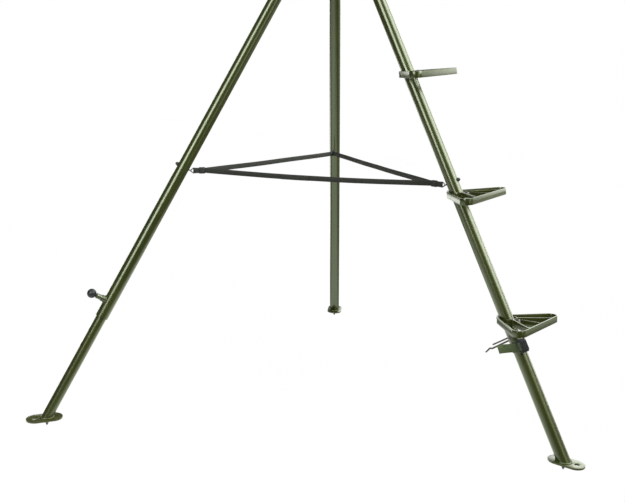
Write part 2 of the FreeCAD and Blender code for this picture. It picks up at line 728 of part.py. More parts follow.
def step_bolts():
    bolts = []
    back = STEP_BACK_SHIFT - STEP_BACK_R
    front = SADDLE_X + SADDLE_R
    for index in range(len(STEP_NAMES)):
        shank = rod(STEP_BOLT_R, (back, 0, STEP_BOLT_UP), (front + NUT_H + BOLT_END, 0, STEP_BOLT_UP))
        head = Part.makeCone(7.5, 5.0, STEP_HEAD_H, Vec(back, 0, STEP_BOLT_UP), Vec(-1, 0, 0))
        bolts.append(put(shank.fuse(head).removeSplitter(), step_level(index)))
    return group(bolts)


def step_nuts():
    front = SADDLE_X + SADDLE_R
    nuts = []
    for index in range(len(STEP_NAMES)):
        nut = hexagon(12.5, (front, 0, STEP_BOLT_UP), (front + NUT_H, 0, STEP_BOLT_UP))
        nut = nut.cut(rod(STEP_BOLT_R, (front - 1, 0, STEP_BOLT_UP), (front + 20, 0, STEP_BOLT_UP)))
        nuts.append(put(nut, step_level(index)))
    return group(nuts)


# ---------------------------------------------------------------- spreader
def eye_bolt(name):
    """Eye bolt across a leg, its cap nut, and the three-sided wire ring on its eye."""
    eye_x = -EYE_IN
    eye_r = 4.2
    shank = rod(EYE_BOLT_R, (eye_x + eye_r, 0, -EYE_AT), (LEG_R + 6, 0, -EYE_AT))
    eye = Part.makeTorus(eye_r, 1.6, Vec(eye_x, 0, -EYE_AT), Vec(0, 0, 1))
    bolt = shank.fuse(eye).removeSplitter()
    nut = hexagon(10.0, (LEG_R, 0, -EYE_AT), (LEG_R + 4.5, 0, -EYE_AT))
    dome = Part.makeSphere(4.6, Vec(LEG_R + 4.5, 0, -EYE_AT)).common(
        box(LEG_R + 4.4, LEG_R + 20, -9, 9, -EYE_AT - 9, -EYE_AT + 9))
    cap = nut.fuse(dome).removeSplitter().cut(rod(EYE_BOLT_R, (0, 0, -EYE_AT), (LEG_R + 6, 0, -EYE_AT)))
    return group([put(bolt, leg_place(name)), put(cap, leg_place(name)), strap_ring(name)])


def strap_ring(name):
    """Triangular wire ring, point at the eye and flat side holding the webbing."""
    half = RING_HEIGHT / 2
    points = [
        (-RING_DEPTH, 0, 0), (-RING_DEPTH, 0, half), (0.5, 0, 0), (-RING_DEPTH, 0, -half),
        (-RING_DEPTH, 0, -0.2),
    ]
    path = rounded_path(points, [2.2, 2.2, 2.2])
    return put(sweep(path, WIRE_R), level_place(name, EYE_R, EYE_Z))


def corner_tab(name):
    """Sewn webbing end folded round the ring, where two spans of the spreader meet."""
    start = EYE_R - RING_DEPTH - WIRE_R - 0.2
    tab = box(CORNER_R - start, 0, -TAB_THICK / 2, TAB_THICK / 2, -WEB_WIDTH / 2, WEB_WIDTH / 2)
    return put(tab, level_place(name, start, EYE_Z))


def web_half(name, toward):
    """Half of a webbing span, from one leg's corner to the middle of the span."""
    corner = level_place(name, CORNER_R, EYE_Z).Base
    other = level_place(toward, CORNER_R, EYE_Z).Base
    span = other - corner
    strip = box(WEB_START, span.Length / 2 - WEB_GAP, -WEB_THICK / 2, WEB_THICK / 2,
                -WEB_WIDTH / 2, WEB_WIDTH / 2)
    strip.Placement = Place(corner, Rot(Vec(1, 0, 0), span))
    return strip


# ---------------------------------------------------------------- tie strap on the step leg
def tie_strap():
    """Webbing band round the leg with its loose tail."""
    half = TIE_WIDTH / 2
    band = pipe(LEG_R + TIE_THICK, LEG_R, (0, 0, -TIE_AT - half), (0, 0, -TIE_AT + half))
    tail = box(LEG_R + 0.5, LEG_R + 0.5 + TIE_THICK, -TAIL_LENGTH, 0, -half, half)
    tail = tail.cut(rod(LEG_R, (0, 0, -half), (0, 0, half)))
    tail.Placement = Place(Vec(0, 0, -TIE_AT), Rot(Vec(0, 0, 1), TAIL_ANGLE))
    return put(band.fuse(tail).removeSplitter(), leg_place("step"))


def tie_buckle():
    """Plastic ladder buckle with two webbing slots."""
    inner = LEG_R + 2 * TIE_THICK + 0.3
    body = box(inner, inner + 8, -18.5, 18.5, -20, 20)
    for y in (-10.0, 10.0):
        body = body.cut(box(inner - 1, inner + 9, y - 3, y + 3, -13.5, 13.5))
    body.Placement = Place(Vec(0, 0, -TIE_AT), Rot(Vec(0, 0, 1), BUCKLE_ANGLE))
    return put(body, leg_place("step"))


# ---------------------------------------------------------------- pull pin on the adjuster leg
def lock_barrel():
    """Welded boss and barrel that house the pull pin and its spring."""
    boss = rod(BOSS_R, (LEG_R - 4, 0, -LOCK_AT), (BOSS_END, 0, -LOCK_AT))
    barrel = rod(BARREL_R, (LEG_R, 0, -LOCK_AT), (BARREL_END, 0, -LOCK_AT))
    housing = boss.fuse(barrel).removeSplitter()
    housing = housing.cut(rod(LEG_R, (0, 0, -LOCK_AT - 40), (0, 0, -LOCK_AT + 40)))
    bore = rod(LOCK_NOSE_R + SPIN_FIT, (0, 0, -LOCK_AT), (BARREL_END - BARREL_CAP, 0, -LOCK_AT))
    exit_hole = rod(LOCK_ROD_R + SPIN_FIT, (0, 0, -LOCK_AT), (BARREL_END + 1, 0, -LOCK_AT))
    return put(housing.cut([bore, exit_hole]), leg_place("adjuster"))


def lock_pin():
    nose = rod(LOCK_NOSE_R, (NOSE_START, 0, -LOCK_AT), (NOSE_END, 0, -LOCK_AT))
    stem = rod(LOCK_ROD_R, (NOSE_END, 0, -LOCK_AT), (BALL_AT, 0, -LOCK_AT))
    return put(nose.fuse(stem).removeSplitter(), leg_place("adjuster"))


def lock_spring():
    """Coil spring of half turns, each an arc in its own tilted plane."""
    length = BARREL_END - BARREL_CAP - NOSE_END - 2 * SPRING_WIRE_R - 2 * SPRING_END_GAP
    rise = length / SPRING_HALF_TURNS
    coils = []
    for count in range(SPRING_HALF_TURNS):
        side = 1 if count % 2 == 0 else -1
        start = Vec(side * SPRING_R, 0, count * rise)
        end = Vec(-side * SPRING_R, 0, (count + 1) * rise)
        middle = (start + end) / 2
        axis = (start - middle).cross(Vec(0, side, 0))
        disc = Part.Face(Part.Wire(Part.makeCircle(SPRING_WIRE_R, start, Vec(0, 1, 0))))
        coils.append(disc.revolve(middle, axis, 180))
    spring = coils[0].fuse(coils[1:])
    base = Vec(NOSE_END + SPRING_WIRE_R + SPRING_END_GAP, 0, -LOCK_AT)
    spring.Placement = Place(base, Rot(Vec(0, 0, 1), Vec(1, 0, 0)))
    return put(spring, leg_place("adjuster"))


def ball_knob():
    """Ball grip with its collar, on the pull pin's stem."""
    ball = Part.makeSphere(BALL_R, Vec(BALL_AT, 0, -LOCK_AT))
    collar = rod(COLLAR_R, (BARREL_END + 1, 0, -LOCK_AT), (BALL_AT - 8, 0, -LOCK_AT))
    stem = rod(LOCK_ROD_R, (0, 0, -LOCK_AT), (BALL_AT, 0, -LOCK_AT))
    return put(ball.fuse(collar).removeSplitter().cut(stem), leg_place("adjuster"))


# ---------------------------------------------------------------- build
def build():
    os.makedirs("parts", exist_ok=True)
    export("hub_tube", hub_tube())
    export("hub_ears", hub_ears())
    export("fold_stops", fold_stops())
    export("hub_top_plate", hub_top_plate())
    export("upper_bush", bush(HUB_TOP_Z + HUB_PLATE_T, -1))
    export("lower_bush", bush(HUB_BOTTOM_Z, 1))
    export("pivot_bolts", pivot_bolts())
    export("pivot_nuts", pivot_nuts())

    export("seat_spindle", seat_spindle())
    export("spindle_bolt", spindle_bolt())
    export("seat_rails", rails_drilled(seat_rails()))
    export("rail_bridges", rail_bridges())
    export("rear_bar", rear_bar())
    export("back_brackets", back_brackets())
    export("seat_board", seat_board())
    export("seat_board_bolts", seat_board_bolts())
    export("seat_cushion", seat_cushion())
    export("back_pivot_bolts", back_pivot_bolts())
    export("back_pivot_nuts", back_pivot_nuts())
    export("back_frame", back_frame())
    export("back_slats", back_slats())
    export("back_cushion", back_cushion())

    export("rear_leg_tube", rear_leg_tube())
    export("step_leg_upper", step_leg_upper())
    export("step_leg_lower", step_leg_lower())
    export("step_leg_spigot", step_leg_spigot())
    export("cross_pin", cross_pin())
    export("hairpin_clip", hairpin_clip())
    export("adjuster_leg_upper", adjuster_leg_upper())
    export("adjuster_leg_lower", adjuster_leg_lower())
    for name in AZIMUTH:
        export(name + "_foot_plate", foot_plate(name))
        export(name + "_foot_spike", foot_spike(name))
        export(name + "_eye_bolt", eye_bolt(name))
        export(name + "_corner_tab", corner_tab(name))
        for toward in AZIMUTH:
            if toward != name:
                export("web_" + name + "_to_" + toward, web_half(name, toward))

    for index, name in enumerate(STEP_NAMES):
        export(name, step_body(index))
    export("step_bolts", step_bolts())
    export("step_nuts", step_nuts())
    export("tie_strap", tie_strap())
    export("tie_buckle", tie_buckle())

    export("lock_barrel", lock_barrel())
    export("lock_pin", lock_pin())
    export("lock_spring", lock_spring())
    export("ball_knob", ball_knob())


build()
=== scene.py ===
"""Looks of the tripod hunting stand: finishes, webbing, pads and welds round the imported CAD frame."""

import json
import math
import random

import bmesh
import bpy
from mathutils import Matrix, Vector
from mathutils.bvhtree import BVHTree

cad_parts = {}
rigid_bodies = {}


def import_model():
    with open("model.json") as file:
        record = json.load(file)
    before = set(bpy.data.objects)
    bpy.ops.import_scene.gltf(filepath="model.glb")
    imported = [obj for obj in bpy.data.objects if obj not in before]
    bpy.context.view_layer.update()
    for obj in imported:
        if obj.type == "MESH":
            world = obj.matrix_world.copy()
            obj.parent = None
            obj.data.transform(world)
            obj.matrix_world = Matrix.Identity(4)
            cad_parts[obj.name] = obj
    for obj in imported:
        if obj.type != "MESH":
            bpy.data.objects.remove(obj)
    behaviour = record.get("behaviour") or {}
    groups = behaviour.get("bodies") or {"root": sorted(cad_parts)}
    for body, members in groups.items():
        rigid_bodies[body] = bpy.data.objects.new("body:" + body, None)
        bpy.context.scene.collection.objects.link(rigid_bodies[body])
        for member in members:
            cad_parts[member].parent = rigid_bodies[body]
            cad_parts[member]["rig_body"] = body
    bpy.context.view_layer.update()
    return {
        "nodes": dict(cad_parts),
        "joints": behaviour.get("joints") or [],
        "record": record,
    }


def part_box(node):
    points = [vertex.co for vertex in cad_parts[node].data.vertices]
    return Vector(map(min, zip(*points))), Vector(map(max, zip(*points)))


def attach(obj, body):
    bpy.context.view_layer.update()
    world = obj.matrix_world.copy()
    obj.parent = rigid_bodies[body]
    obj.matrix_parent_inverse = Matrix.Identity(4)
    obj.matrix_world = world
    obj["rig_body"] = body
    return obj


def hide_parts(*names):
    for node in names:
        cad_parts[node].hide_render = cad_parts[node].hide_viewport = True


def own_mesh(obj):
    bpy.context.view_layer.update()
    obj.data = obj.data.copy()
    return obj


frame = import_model()

# ---------------------------------------------------------------- places, from the frame
UP = Vector((0, 0, 1))
JOINTS = {joint["name"]: joint for joint in frame["joints"]}
HUB = Vector(JOINTS["seat_swivel"]["pos_m"])
SPLAY = math.acos(-JOINTS["adjuster_leg_extend"]["axis"][2])
LEG_NAMES = ("step", "rear", "adjuster")
STEP_NAMES = ("step_lowest", "step_second", "step_third", "step_top")
SLOTS = {part["node"]: part["material_slot"] for part in frame["record"]["subparts"]}
LEG_R = 0.01905
SLIDE_R = 0.015875
WEB_WIDTH = 0.016
WEB_THICK = 0.0018
FRONT_SAG = 0.006
BACK_SAG = 0.0012
RING_WIRE_R = 0.0015
STEP_REACH = 0.1055
STEP_BAR_H = 0.01905
STEP_BAR_T = 0.0032
SPOKE_SPREAD = 0.077
SPOKE_T = 0.003
LOWEST_STEP = 1.423
STEP_SPACING = 0.393
STEP_SEATING = ((3.6, -0.9, -2.6), (5.2, 1.9, -1.3), (5.6, 2.8, -1.3), (5.6, 2.8, -1.3))
SADDLE_X = 0.0036
SADDLE_R = 0.024
TIE_WIDTH = 0.025
TIE_THICK = 0.0018
BUCKLE_TURN = math.radians(-43)
TAIL_TURN = math.radians(-70)
TAIL_RISE = 0.24
EAR_THICK = 0.006
BRIDGE_WIDTH = 0.024
BOX_TUBE_HALF = 0.0127
BACK_TUBE_R = 0.0111
BACK_LEAN = math.radians(12)
SLAT_HEIGHTS = (0.150, 0.310)
SLAT_HALF = 0.015
BEAD_R = 0.0019
THIN_BEAD_R = 0.0017


def columns(x_axis, y_axis, z_axis, origin):
    """The matrix whose axes are these three directions, at an origin."""
    matrix = Matrix((x_axis, y_axis, z_axis)).transposed().to_4x4()
    matrix.translation = origin
    return matrix


def axes(matrix):
    """The directions of a matrix's X, Y and Z."""
    return [matrix.col[axis].to_3d() for axis in range(3)]


def leg_matrix(leg):
    """Leg frame: X outward across the leg, Y sideways, Z up it, origin where it meets the hub's axis."""
    joint = JOINTS[leg + "_leg_fold"]
    side, pivot = Vector(joint["axis"]), Vector(joint["pos_m"])
    outward = side.cross(UP)
    up_leg = UP * math.cos(SPLAY) - outward * math.sin(SPLAY)
    across = outward * math.cos(SPLAY) + UP * math.sin(SPLAY)
    reach = (pivot - HUB).dot(outward) / math.sin(SPLAY)
    return columns(across, side, up_leg, pivot + up_leg * reach)


LEGS = {leg: leg_matrix(leg) for leg in LEG_NAMES}


def level_matrix(leg, height):
    """Level frame on a leg's line at a height: X outward, Y sideways, Z up."""
    joint = JOINTS[leg + "_leg_fold"]
    side = Vector(joint["axis"])
    apex, up_leg = LEGS[leg].translation, LEGS[leg].col[2].to_3d()
    origin = apex - up_leg * ((apex.z - height) / math.cos(SPLAY))
    return columns(side.cross(UP), side, UP, origin)


def local_box(node, matrix):
    """Lowest and highest corner of a CAD node in a local frame."""
    inverse = matrix.inverted()
    points = [inverse @ vertex.co for vertex in frame["nodes"][node].data.vertices]
    low = Vector([min(point[axis] for point in points) for axis in range(3)])
    high = Vector([max(point[axis] for point in points) for axis in range(3)])
    return low, high


# ---------------------------------------------------------------- shader helpers
def node(tree, kind, inputs=None, **settings):
    """Add a shader node; an input that is a socket is linked, any other value is set."""
    made = tree.nodes.new("ShaderNode" + kind)
    for key, value in settings.items():
        setattr(made, key, value)
    for key, value in (inputs or {}).items():
        if isinstance(value, bpy.types.NodeSocket):
            tree.links.new(value, made.inputs[key])
        else:
            made.inputs[key].default_value = value
    return made


def ramp(factor, *stops):
    """Colours, or plain numbers, drawn from a factor through (place, value) stops."""
    made = node(factor.id_data, "ValToRGB", {"Fac": factor})
    elements = made.color_ramp.elements
    while len(elements) < len(stops):
        elements.new(0.5)
    for element, (place, value) in zip(elements, stops):
        element.position = place
        element.color = (*value, 1) if isinstance(value, tuple) else (value, value, value, 1)
    return made.outputs["Color"]


def place_of(tree):
    return node(tree, "TexCoord").outputs["Object"]


def noise(where, scale, detail=2.0, roughness=0.5):
    inputs = {"Vector": where, "Scale": scale, "Detail": detail, "Roughness": roughness}
    return node(where.id_data, "TexNoise", inputs).outputs[0]


def mottled(where, scale, first, second, detail=3.0):
    """Soft patches that drift between two colours or two plain numbers."""
    return ramp(noise(where, scale, detail), (0.3, first), (0.7, second))


def waves(where, period, direction, distortion=0.0):
    """Sine bands of one period, in metres, across X, Y or Z."""
    scale = 2 * math.pi / (period * 20)
    inputs = {"Vector": where, "Scale": scale, "Distortion": distortion}
    made = node(where.id_data, "TexWave", inputs, bands_direction=direction,
                wave_type="BANDS", wave_profile="SIN")
    return made.outputs["Fac"]


def math_of(operation, first, second):
    return node(first.id_data, "Math", {0: first, 1: second}, operation=operation).outputs[0]


def weighted(first, second):
    """The sum of two (number, weight) pairs."""
    return math_of("ADD", math_of("MULTIPLY", *first), math_of("MULTIPLY", *second))


def stretched(where, scale):
    return node(where.id_data, "Mapping", {"Vector": where, "Scale": scale}).outputs[0]


def feed(shader, **sources):
    """Link sources to the shader's sockets, which are named with _ for a space."""
    for name, source in sources.items():
        shader.id_data.links.new(source, shader.inputs[name.replace("_", " ")])


def bumped(shader, height, strength, distance):
    inputs = {"Height": height, "Strength": strength, "Distance": distance}
    feed(shader, Normal=node(shader.id_data, "Bump", inputs).outputs[0])


def blank(name, **constants):
    """A new material, its shader and its coordinates; constants go onto the shader's sockets."""
    material = bpy.data.materials.new(name)
    material.use_nodes = True
    shader = material.node_tree.nodes["Principled BSDF"]
    for key, value in constants.items():
        shader.inputs[key.replace("_", " ")].default_value = value
    return material, shader, place_of(material.node_tree)


# ---------------------------------------------------------------- finishes
OLIVE_DARK = (0.026, 0.032, 0.0030)
OLIVE = (0.036, 0.043, 0.0050)
OLIVE_PALE = (0.046, 0.054, 0.0080)
SHEEN_OF_OLIVE = (0.88, 1.00, 0.76, 1)
BARE_STEEL = (0.52, 0.52, 0.47, 1)


def olive_powder():
    """Glossy powder coat: slow colour drift, fine speckle, a trace of orange peel."""
    material, shader, where = blank("olive_powder", Specular_IOR_Level=0.62, Specular_Tint=SHEEN_OF_OLIVE)
    drift = noise(where, 7.0, 3.0)
    speckle = noise(where, 1500.0, 1.0)
    tone = weighted((drift, 0.75), (speckle, 0.25))
    feed(shader, Base_Color=ramp(tone, (0.30, OLIVE_DARK), (0.50, OLIVE), (0.72, OLIVE_PALE)),
         Roughness=mottled(where, 30.0, 0.22, 0.27))
    peel = math_of("ADD", noise(where, 420.0, 2.0), math_of("MULTIPLY", drift, 0.4))
    bumped(shader, peel, 0.04, 0.0001)
    return material


def worn_powder():
    """The same coat rubbed through to steel in fine scratches round a pin's housing."""
    material, shader, where = blank("worn_powder", Specular_IOR_Level=0.6, Specular_Tint=SHEEN_OF_OLIVE)
    scratches = noise(stretched(where, (900, 260, 1500)), 0.35, 4.0, 0.7)
    worn = ramp(scratches, (0.60, 0.0), (0.66, 1.0))
    paint = mottled(where, 60.0, OLIVE_DARK, OLIVE_PALE)
    colour = node(worn.id_data, "MixRGB", {"Fac": worn, "Color1": paint, "Color2": BARE_STEEL})
    feed(shader, Base_Color=colour.outputs[0], Metallic=math_of("MULTIPLY", worn, 0.9),
         Roughness=ramp(scratches, (0.4, 0.42), (0.7, 0.29)))
    bumped(shader, scratches, 0.5, 0.0002)
    return material


def webbing(name, dark, pale, rib=0.0016):
    """Flat woven tape: ribs along its length crossed by picks, with a fuzzed, uneven colour."""
    material, shader, where = blank(name, Roughness=0.8, Specular_IOR_Level=0.22, Sheen_Weight=0.06)
    along = node(material.node_tree, "Attribute", attribute_name="strap").outputs["Vector"]
    picks = waves(along, rib, "X", 0.4)
    ribs = waves(along, rib * 0.9, "Y", 0.3)
    twill = waves(along, rib * 2.6, "DIAGONAL", 0.2)
    crossed = math_of("MULTIPLY", picks, ribs)
    weave = math_of("ADD", crossed, math_of("MULTIPLY", twill, 0.35))
    fuzz = noise(where, 260.0, 4.0, 0.7)
    tone = weighted((weave, 0.5), (fuzz, 0.5))
    feed(shader, Base_Color=ramp(tone, (0.2, dark), (0.8, pale)))
    bumped(shader, weave, 0.5, 0.0003)
    return material


def black_thread():
    """Twisted sewing thread."""
    material, shader, where = blank("black_thread", Roughness=0.6, Sheen_Weight=0.3)
    dark, pale = (0.016, 0.017, 0.015), (0.0304, 0.0323, 0.0285)
    feed(shader, Base_Color=mottled(where, 900.0, dark, pale, 2.0))
    bumped(shader, waves(where, 0.0007, "DIAGONAL", 1.0), 0.5, 0.0001)
    return material


def moulded(name, dark, pale, low, high):
    """Injection-moulded plastic with a fine spark-eroded grain."""
    material, shader, where = blank(name, Specular_IOR_Level=0.3)
    feed(shader, Base_Color=mottled(where, 30.0, dark, pale),
         Roughness=mottled(where, 140.0, low, high))
    bumped(shader, noise(where, 1400.0, 2.0), 0.25, 0.0001)
    return material


def steel(name, dark, pale, low, high, metallic=0.0):
    """Machined or formed steel with fine directional marks."""
    material, shader, where = blank(name, Metallic=metallic)
    marks = noise(stretched(where, (120, 120, 900)), 1.0, 4.0, 0.65)
    feed(shader, Base_Color=mottled(where, 90.0, dark, pale),
         Roughness=ramp(marks, (0.3, low), (0.7, high)))
    bumped(shader, marks, 0.3, 0.0001)
    return material


def nylon():
    """Natural nylon bush, slightly translucent."""
    material, shader, where = blank("nylon", Subsurface_Weight=0.15, Subsurface_Scale=0.004)
    feed(shader, Base_Color=mottled(where, 50.0, (0.62, 0.60, 0.52), (0.76, 0.75, 0.69)),
         Roughness=mottled(where, 200.0, 0.32, 0.5, 2.0))
    bumped(shader, noise(where, 700.0, 2.0), 0.2, 0.0001)
    return material


def plywood():
    """Birch plywood: long grain on its faces and glued plies on its edges."""
    material, shader, where = blank("plywood", Specular_IOR_Level=0.35)
    grain = noise(stretched(where, (9, 160, 30)), 1.0, 6.0, 0.6)
    face = ramp(grain, (0.30, (0.33, 0.20, 0.09)), (0.55, (0.52, 0.35, 0.18)),
                (0.75, (0.62, 0.45, 0.26)))
    plies = waves(where, 0.003, "Z", 0.3)
    edge = ramp(plies, (0.35, (0.16, 0.085, 0.035)), (0.55, (0.50, 0.34, 0.18)))
    tree = material.node_tree
    level = node(tree, "SeparateXYZ", {0: node(tree, "NewGeometry").outputs["Normal"]}).outputs["Z"]
    flat = math_of("GREATER_THAN", math_of("ABSOLUTE", level, 0.0), 0.7)
    colour = node(tree, "MixRGB", {"Fac": flat, "Color1": edge, "Color2": face})
    feed(shader, Base_Color=colour.outputs[0], Roughness=ramp(grain, (0.3, 0.62), (0.7, 0.48)))
    bumped(shader, grain, 0.35, 0.0003)
    return material


def seat_fabric():
    """Coated basket-weave cloth in dull olive."""
    material, shader, where = blank("seat_fabric", Roughness=0.72, Sheen_Weight=0.3, Sheen_Roughness=0.45)
    warp, weft, rise = (waves(where, 0.0026, axis, 0.5) for axis in "XYZ")
    weave = math_of("MULTIPLY", math_of("ADD", warp, rise), math_of("ADD", weft, 0.35))
    dirt = noise(where, 14.0, 4.0, 0.6)
    tone = weighted((weave, 0.3), (dirt, 0.6))
    stops = (0.15, (0.030, 0.036, 0.014)), (0.55, (0.070, 0.080, 0.034)), (0.9, (0.105, 0.116, 0.055))
    feed(shader, Base_Color=ramp(tone, *stops))
    bumped(shader, weave, 0.55, 0.0005)
    return material


FINISHES = {
    "olive_powder": olive_powder(),
    "black_webbing": webbing("black_webbing", (0.019, 0.021, 0.016), (0.036, 0.040, 0.030)),
    "olive_webbing": webbing("olive_webbing", (0.075, 0.105, 0.040), (0.135, 0.180, 0.075)),
    "black_plastic": moulded("black_plastic", (0.006, 0.009, 0.009), (0.012, 0.016, 0.016), 0.40, 0.55),
    "black_steel": steel("black_steel", (0.008, 0.008, 0.007), (0.020, 0.020, 0.018), 0.38, 0.55),
    "spike_steel": steel("spike_steel", (0.004, 0.004, 0.003), (0.011, 0.010, 0.009), 0.50, 0.70),
    "bright_steel": steel("bright_steel", (0.46, 0.45, 0.41), (0.66, 0.65, 0.61), 0.16, 0.34, 1.0),
    "nylon": nylon(),
    "plywood": plywood(),
    "seat_fabric": seat_fabric(),
}
WORN = worn_powder()
DULL_WIRE = steel("dull_wire", (0.040, 0.036, 0.024), (0.085, 0.078, 0.055), 0.40, 0.55)
BLACK_THREAD = black_thread()


def paint_frame():
    """Give every CAD node the finish of its slot."""
    special = {"lock_barrel": WORN, "hairpin_clip": DULL_WIRE, "cross_pin": DULL_WIRE}
    for name, slot in SLOTS.items():
        mesh = frame["nodes"][name].data
        mesh.materials.clear()
        mesh.materials.append(special.get(name, FINISHES[slot]))


# ---------------------------------------------------------------- mesh helpers
def put_in_scene(name, data):
    made = bpy.data.objects.new(name, data)
    bpy.context.scene.collection.objects.link(made)
    return made


def mesh_of(name, vertices, faces):
    mesh = bpy.data.meshes.new(name)
    mesh.from_pydata([tuple(vertex) for vertex in vertices], [], faces)
    return mesh


def add_piece(name, mesh, body, slot, finish=None, smooth=32):
    """Make a mesh a piece that rides on a body and takes a slot's finish."""
    mesh.shade_smooth()
    mesh.set_sharp_from_angle(angle=math.radians(smooth))
    mesh.materials.append(finish or FINISHES[slot])
    piece = put_in_scene(name, mesh)
    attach(piece, body)
    return piece


def copied(name):
    """A CAD node's mesh, copied for editing with its doubled points joined."""
    shell = bmesh.new()
    shell.from_mesh(frame["nodes"][name].data)
    bmesh.ops.remove_doubles(shell, verts=shell.verts, dist=1e-6)
    return shell


def stand_in(name, ending, shell, smooth):
    """Show an edited copy in the place of its CAD node."""
    mesh = bpy.data.meshes.new(name + ending)
    shell.to_mesh(mesh)
    shell.free()
    source = frame["nodes"][name]
    finish = source.data.materials[0]
    piece = add_piece(name + ending, mesh, source["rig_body"], SLOTS[name], finish, smooth)
    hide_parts(name)
    return piece


def softened(name, width=0.0006):
    """A copy of a CAD node with its sharp edges rolled over, in the node's own place."""
    shell = copied(name)
    flat = math.radians(0.6)
    bmesh.ops.dissolve_limit(shell, angle_limit=flat, verts=shell.verts, edges=shell.edges)
    sharp = [edge for edge in shell.edges
             if len(edge.link_faces) == 2 and edge.calc_face_angle(0.0) > math.radians(38)]
    bmesh.ops.bevel(shell, geom=sharp, offset=width, segments=2, profile=0.5, affect="EDGES",
                    clamp_overlap=True)
    bmesh.ops.triangulate(shell, faces=[face for face in shell.faces if len(face.verts) > 4])
    stand_in(name, "_rolled", shell, 30)


def coated(name, thickness):
    """A copy of a CAD node grown outward by a coat of paint, in the node's own place."""
    shell = copied(name)
    shell.normal_update()
    grown = [vertex.co + vertex.normal * thickness for vertex in shell.verts]
    for vertex, place in zip(shell.verts, grown):
        vertex.co = place
    return stand_in(name, "_coated", shell, 40)


def pin_spring():
    """The pull pin's spring, as a copy of its CAD node with a mesh of its own."""
    piece = coated("lock_spring", 0.0)
    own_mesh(piece)


def bridge(count, size, closed=False):
    """Faces that join a count of rings, each of one size, with end caps unless closed."""
    faces = []
    for near in range(count if closed else count - 1):
        far = (near + 1) % count
        for corner in range(size):
            after = (corner + 1) % size
            faces.append((near * size + corner, near * size + after, far * size + after, far * size + corner))
    if not closed:
        faces.append(tuple(reversed(range(size))))
        faces.append(tuple(range((count - 1) * size, count * size)))
    return faces


def turns(count):
    """Evenly spaced angles round a full turn."""
    return [2 * math.pi * step / count for step in range(count)]


def on_circle(centre, first, second, radius, angle):
    """A point on a circle in the plane of two unit directions."""
    return centre + first * (radius * math.cos(angle)) + second * (radius * math.sin(angle))


def arc(centre, first, second, start, end, radius, steps):
    """Points on an arc in the plane of two unit directions."""
    angles = (start + (end - start) * step / steps for step in range(steps + 1))
    return [on_circle(centre, first, second, radius, angle) for angle in angles]


def rounded_rectangle(half_wide, half_deep, corner, steps):
    """Outline as (x, y) points, with a number of steps round each corner."""
    made = []
    for quarter, (x_sign, y_sign) in enumerate(((1, 1), (-1, 1), (-1, -1), (1, -1))):
        for step in range(steps + 1):
            angle = math.radians(90 * quarter) + math.pi / 2 * step / steps
            made.append((x_sign * (half_wide - corner) + corner * math.cos(angle),
                         y_sign * (half_deep - corner) + corner * math.sin(angle)))
    return made


def directions(points, closed):
    """Unit tangents of a polyline."""
    count = len(points)
    tangents = []
    for here in range(count):
        before = points[here - 1] if closed or here > 0 else points[here]
        after = points[(here + 1) % count] if closed or here < count - 1 else points[here]
        tangents.append((after - before).normalized())
    return tangents


def resampled(points, spacing, closed=False):
    """Points at an even spacing along a polyline."""
    run = list(points) + ([points[0]] if closed else [])
    lengths = [0.0]
    for before, after in zip(run, run[1:]):
        lengths.append(lengths[-1] + (after - before).length)
    count = max(2, round(lengths[-1] / spacing))
    made, here = [], 0
    for step in range(count + (0 if closed else 1)):
        target = lengths[-1] * step / count
        while here < len(run) - 2 and lengths[here + 1] < target:
            here += 1
        share = (target - lengths[here]) / max(lengths[here + 1] - lengths[here], 1e-9)
        made.append(run[here].lerp(run[here + 1], min(1.0, share)))
    return made


